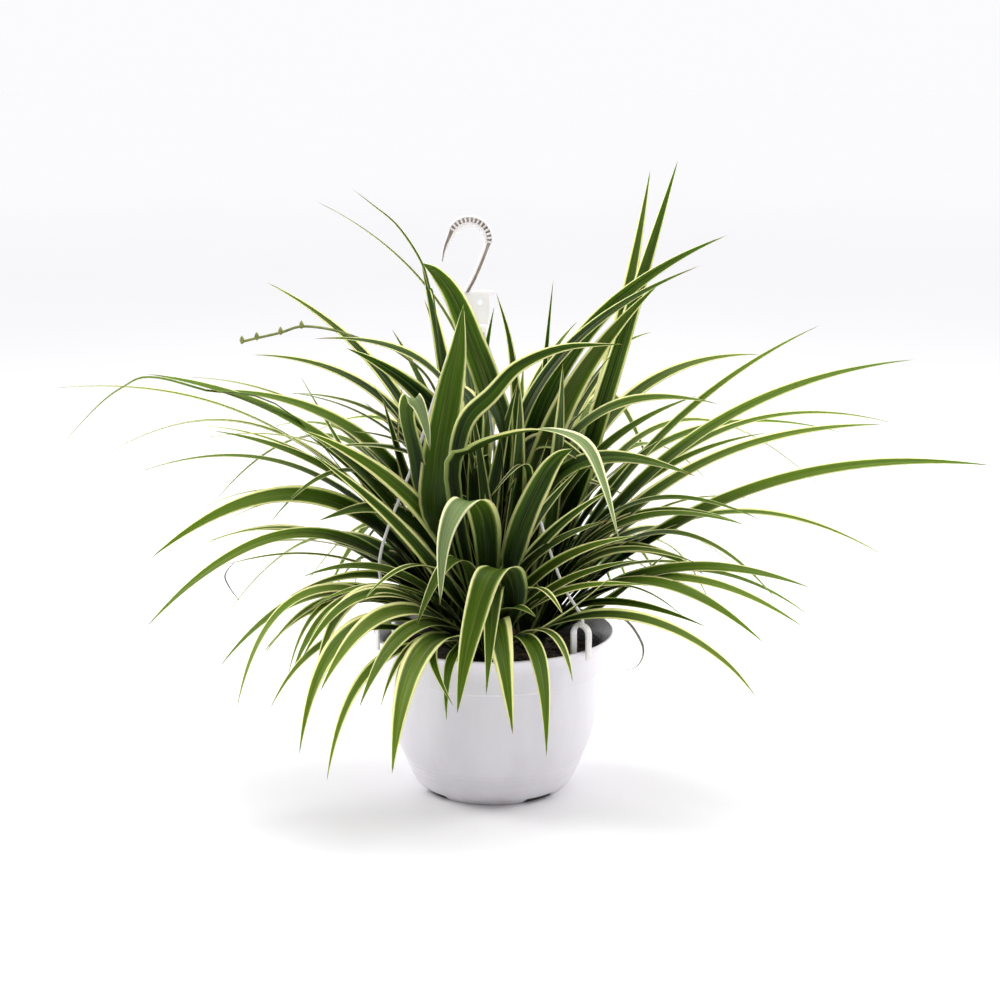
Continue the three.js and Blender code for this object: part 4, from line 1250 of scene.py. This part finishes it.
def keep_off_rim(point, width):
    """Lifts a point of a blade over the rolled rim, or holds it off outside."""
    reach = math.hypot(point.x, point.y)
    out, up = reach - RIM_GUARD_REACH, point.z - RIM_GUARD_HEIGHT
    distance = math.hypot(out, up)
    grown = held(distance, RIM_GUARD_RADIUS + RIM_GUARD_WIDTH_SHARE * width, RIM_GUARD_EASE) / distance
    share = (RIM_GUARD_REACH + out * grown) / reach
    point.x *= share
    point.y *= share
    point.z = RIM_GUARD_HEIGHT + up * grown


def width_share(t):
    """Share of the full width: narrow at the crown, widest at a third, then a long taper."""
    opening = lerp(BLADE_ROOT_SHARE, 1, math.sin(min(t / BLADE_WIDEST_AT, 1) * math.pi / 2))
    return opening * (1 - max((t - BLADE_WIDEST_AT) / (1 - BLADE_WIDEST_AT), 0) ** BLADE_TAPER)


def channel_share(t):
    return lerp(*BLADE_CHANNEL, min(t / CHANNEL_SETTLES_AT, 1))


def arch_through(root, bend, tip):
    """An arch from the crown, through the bend, to the tip."""
    near = (root - bend).length
    share = near / (near + (bend - tip).length)
    pull = (bend - root * (1 - share) ** 2 - tip * share ** 2) / (2 * share * (1 - share))
    return lambda t: root * (1 - t) ** 2 + pull * (2 * t * (1 - t)) + tip * t ** 2


def blade_line(blade, walls):
    """The blade's middle line, kept clear of the strands and the rim."""

    def line(t):
        point = blade["curve"](t)
        keep_in_sector(point, walls, SECTOR_CLEARANCE + 0.5 * blade["width"] * width_share(clamp(t, 0, 1)))
        keep_off_rim(point, blade["width"])
        return point

    return line


def blade_face(tangent, outward, facing, t):
    """Which way the upper face looks: up out of the arch, and turned to the front further out."""
    natural = tangent.cross(Vector((0, 0, 1)).cross(outward)).normalized()
    front = Vector((0, -1, 0))
    front -= tangent * front.dot(tangent)
    turn = facing * min(t / FACE_TURNED_AT, 1)
    return (natural * (1 - abs(turn)) + front * turn).normalized()


def add_blade(shape, blade, walls, draw):
    """A thin blade, channelled down its middle, with its own slight twist, ripple and colouring."""
    line = blade_line(blade, walls)
    outward = blade["tip"] - blade["root"]
    outward.z = 0
    outward.normalize()
    twist, phase, waves = math.radians(draw(*BLADE_TWIST)), draw(0, 6.28), draw(*BLADE_WAVES)
    ripple = draw(*BLADE_RIPPLE)
    character = (draw(0, 1), draw(0, 1), draw(0, 1), draw(0, 1))
    length = 0
    last = line(0)
    rings = []
    for i in range(BLADE_RINGS):
        t = TIP_SHARE * i / BLADE_RINGS
        middle = line(t)
        length += (middle - last).length
        last = middle
        tangent = (line(t + 0.01) - line(max(t - 0.01, 0))).normalized()
        face = blade_face(tangent, outward, blade["facing"], t)
        across = tangent.cross(face)
        east, north = around(1, twist * clamp((t - TWIST_STARTS_AT) / TWIST_OVER, 0, 1))
        face, across = face * east + across * north, across * east - face * north
        width = blade["width"] * width_share(t)
        rise = width * blade.get("channel", 1) * channel_share(t)
        rings.append(add_blade_ring(shape, middle, across, face, width, rise, t, character,
                                    ripple * width * math.sin(phase + 2 * math.pi * waves * t)))
    tip = shape.add_point(line(TIP_SHARE), (0.5, 1), character)
    upper, under = blade.get("sides", USUAL_SIDES)
    looks = [upper] * BLADE_STRIPS + [under] * BLADE_STRIPS
    shape.join_rings(rings + [[tip]], looks)
    shape.add_face(reversed(rings[0]))


def add_blade_ring(shape, middle, across, face, width, rise, t, character, ripple):
    """Points of the upper face from the left edge to the right one, and of the under face back again."""
    thickness = BLADE_HALF_THICKNESS * lerp(0.5, 1, min(width / FULL_THICKNESS_WIDTH, 1))
    ring = []
    for i in range(2 * BLADE_STRIPS):
        upper = i <= BLADE_STRIPS
        side = 2 * (i if upper else 2 * BLADE_STRIPS - i) / BLADE_STRIPS - 1
        half = thickness * (1 - side ** 2) ** 0.5
        lift = rise * abs(side) ** CHANNEL_CURVE + (half if upper else -half) + ripple * side ** 3
        point = middle + across * (side * width / 2) + face * lift
        ring.append(shape.add_point(point, ((side + 1) / 2, t), character))
    return ring


def layer_row(layer, turn, draw):
    """A blade of one layer, placed by rule at a turn round the pot."""
    *limits, width = layer
    bend, bend_height, reach, tip_height = [draw(*limit) for limit in limits]
    sway = turn + draw(*LAYER_SWAY)
    return (*around(bend, math.radians(turn)), bend_height, *around(reach, math.radians(sway)), tip_height,
            draw(*width), draw(*LAYER_FACING))


def layer_rows(layers, draw):
    rows = []
    for name, (count, low, high) in layers.items():
        for i in range(count):
            turn = low + (high - low) * (i + draw(*LAYER_STAGGER)) / count
            rows.append(layer_row(LAYERS[name], turn, draw))
    return rows


def root_toward(bend, crown_at):
    """A blade leaves its crown on the side where it grows to: steep ones in the middle, flat ones outer."""
    away = bend - crown_at
    away.z = 0
    steepness = math.atan2(bend.z - ROOT_HEIGHT, away.length) / (math.pi / 2)
    root = crown_at + away.normalized() * lerp(*ROOT_SPREAD, 1 - steepness)
    root.z = ROOT_HEIGHT
    return root


def arched_blade(row, crown_at):
    bend, tip, (width, facing) = Vector(row[0:3]), Vector(row[3:6]), row[6:]
    root = root_toward(bend, crown_at)
    curve = arch_through(root, bend, tip)
    return {"root": root, "tip": tip, "width": width, "facing": facing, "curve": curve}


def winding_blade(row, crown_at):
    width, facing, places = row
    path = [Vector(place) for place in places]
    root = root_toward(path[0], crown_at)
    curve = curve_through([root] + path)
    return {"root": root, "tip": path[-1], "width": width, "facing": facing, "curve": curve}


def sheath_blade(crown_at, turn, draw):
    """A short broad leaf base, wrapped round the crown."""
    out = Vector((*around(1, turn), 0))
    lean = draw(*SHEATH_LEAN)

    def at(reach, height):
        return crown_at + out * reach + Vector((0, 0, height))

    root, bend = at(*SHEATH_ROOT), at(SHEATH_BEND[0] * lean, SHEATH_BEND[1])
    tip = at(SHEATH_TIP_REACH * lean, draw(*SHEATH_TIP_HEIGHT))
    return {"root": root, "tip": tip, "width": draw(*SHEATH_WIDTH), "facing": 0, "channel": SHEATH_CHANNEL,
            "curve": arch_through(root, bend, tip)}


def sector_walls(crown):
    low, high = strand_line(crown["from"])[0], strand_line(crown["to"])[0]
    return [Vector((-math.sin(low), math.cos(low), 0)), Vector((math.sin(high), -math.cos(high), 0))]


def build_crown(crown, looks):
    crown_at = Vector((*around(CROWN_REACH, math.radians(crown["turn"])), 0))
    walls = sector_walls(crown)
    draw = drawer(crown["seed"])
    rows = list(crown["rows"]) + layer_rows(crown["fill"], draw)
    look_draw = drawer(crown["seed"] + LOOK_SEED_STEP)
    rows += layer_rows(crown["more"], look_draw)
    blades = [arched_blade(row, crown_at) for row in rows]
    blades += [winding_blade(row, crown_at) for row in crown["winding"]]
    for place, sides in crown["sides"].items():
        blades[len(rows) + place]["sides"] = sides
    blades += [sheath_blade(crown_at, SHEATH_TURN * i, look_draw) for i in range(SHEATH_COUNT)]
    shape = Shape()
    for blade in blades:
        add_blade(shape, blade, walls, look_draw)
    dress(shape.to_object(crown["name"], looks), "leaf", crown["node"])


def build_stalk(look):
    """Thin flower stalk that leans out between the blades on the left, with closed buds at its end."""
    shape = Shape()
    sweep(shape, smooth_path(STALK_ROUTE, STALK_STEPS), circle(STALK_RADIUS, STALK_SIDES), Vector((0, 1, 0)))
    for x, y, z in STALK_ROUTE[-BUD_COUNT:]:
        start = len(shape.points)
        turned(shape, [(radius, height, 0) for radius, height in BUD_PROFILE], BUD_SIDES)
        for point in shape.points[start:]:
            point.xyz = (point.x + x, point.y + y, point.z + z + BUD_RISE)
    dress(shape.to_object("flower_stalk", [look]), "leaf")


def build_dry_tip(look):
    """A dry leaf end that hangs from a blade on the left, thin where it starts and where it ends."""

    def section(share):
        return circle(DRY_TIP_RADIUS * (0.3 + 0.7 * math.sin(math.pi * share)), DRY_TIP_SIDES)

    shape = Shape()
    sweep(shape, smooth_path(DRY_TIP_ROUTE, DRY_TIP_STEPS), section, Vector((0, 1, 0)))
    dress(shape.to_object("dry_tip", [look]), "leaf")


# Stage, light and camera

def build_floor():
    mesh = bpy.data.meshes.new("floor")
    corners = ((-1, -1), (1, -1), (1, 1), (-1, 1))
    mesh.from_pydata([(FLOOR_REACH * x, FLOOR_REACH * y, 0) for x, y in corners], [], [(0, 1, 2, 3)])
    mesh.materials.append(floor_look())
    floor = add_object("floor", mesh)


def add_light(name, place, size, watts):
    """A soft square light that looks at the middle of the plant."""
    data = bpy.data.lights.new(name, "AREA")
    data.shape = "RECTANGLE"
    data.size, data.size_y = size
    data.energy = watts
    light = add_object(name, data)
    light.location = place
    light.rotation_euler = (Vector(LIGHT_TARGET) - Vector(place)).to_track_quat("-Z", "Y").to_euler()


def build_world():
    """A pale room, brightest behind the plant and overhead, and dim in front."""
    world = bpy.data.worlds.new("studio")
    world.use_nodes = True
    room = Nodes(world.node_tree)
    _, depth, height = room.split(room.place("Generated"))
    strength = room.plus(room.ramp(depth, *WORLD_DEPTHS, *WORLD_FRONT_TO_BACK),
                         room.ramp(height, *WORLD_HEIGHTS, 0.0, WORLD_OVERHEAD))
    above = room.ramp(height, *WORLD_HORIZON_HEIGHTS)
    strength = room.plus(room.times(room.minus(1.0, above), WORLD_HORIZON), room.times(above, strength))
    background = world.node_tree.nodes["Background"]
    room.feed(background.inputs["Color"], WORLD_TINT)
    room.feed(background.inputs["Strength"], strength)
    bpy.context.scene.world = world


def build_light():
    build_world()
    for light in LIGHTS:
        add_light(*light)
    bpy.context.scene.view_settings.view_transform = "Standard"
    bpy.context.scene.view_settings.look = "None"


def build_camera():
    data = bpy.data.cameras.new("camera")
    data.sensor_width = SENSOR_WIDTH
    data.lens = FOCAL_PIXELS / IMAGE_PIXELS * SENSOR_WIDTH
    camera = add_object("camera", data)
    camera.location = Vector(CAMERA_AT) * MM
    camera.rotation_euler = (math.radians(90 + CAMERA_PITCH), 0, 0)
    bpy.context.scene.camera = camera


def build_plants():
    dry = dry_leaf_look()
    looks = [leaf_look(name, *tones) for name, tones in LEAF_LOOKS.items()] + [dry]
    for crown in CROWNS:
        build_crown(crown, looks)
    build_stalk(stalk_look())
    build_dry_tip(dry)


def build_hanger():
    build_hook(hanger_look("hook_plastic", *HOOK_TONES, 0.4, glow=0.7, painted_glow=0.11),
               hanger_look("hook_channel_shade", *HOOK_CHANNEL_SHADE_TONES, 0.7))
    look = hanger_look("strand_plastic", *STRAND_TONES, 0.35, painted_glow=0.05)
    for strand in STRANDS:
        build_strand(*strand, look)


build_camera()
build_light()
build_floor()
build_pot()
build_soil()
build_crumbs()
build_hanger()
build_plants()
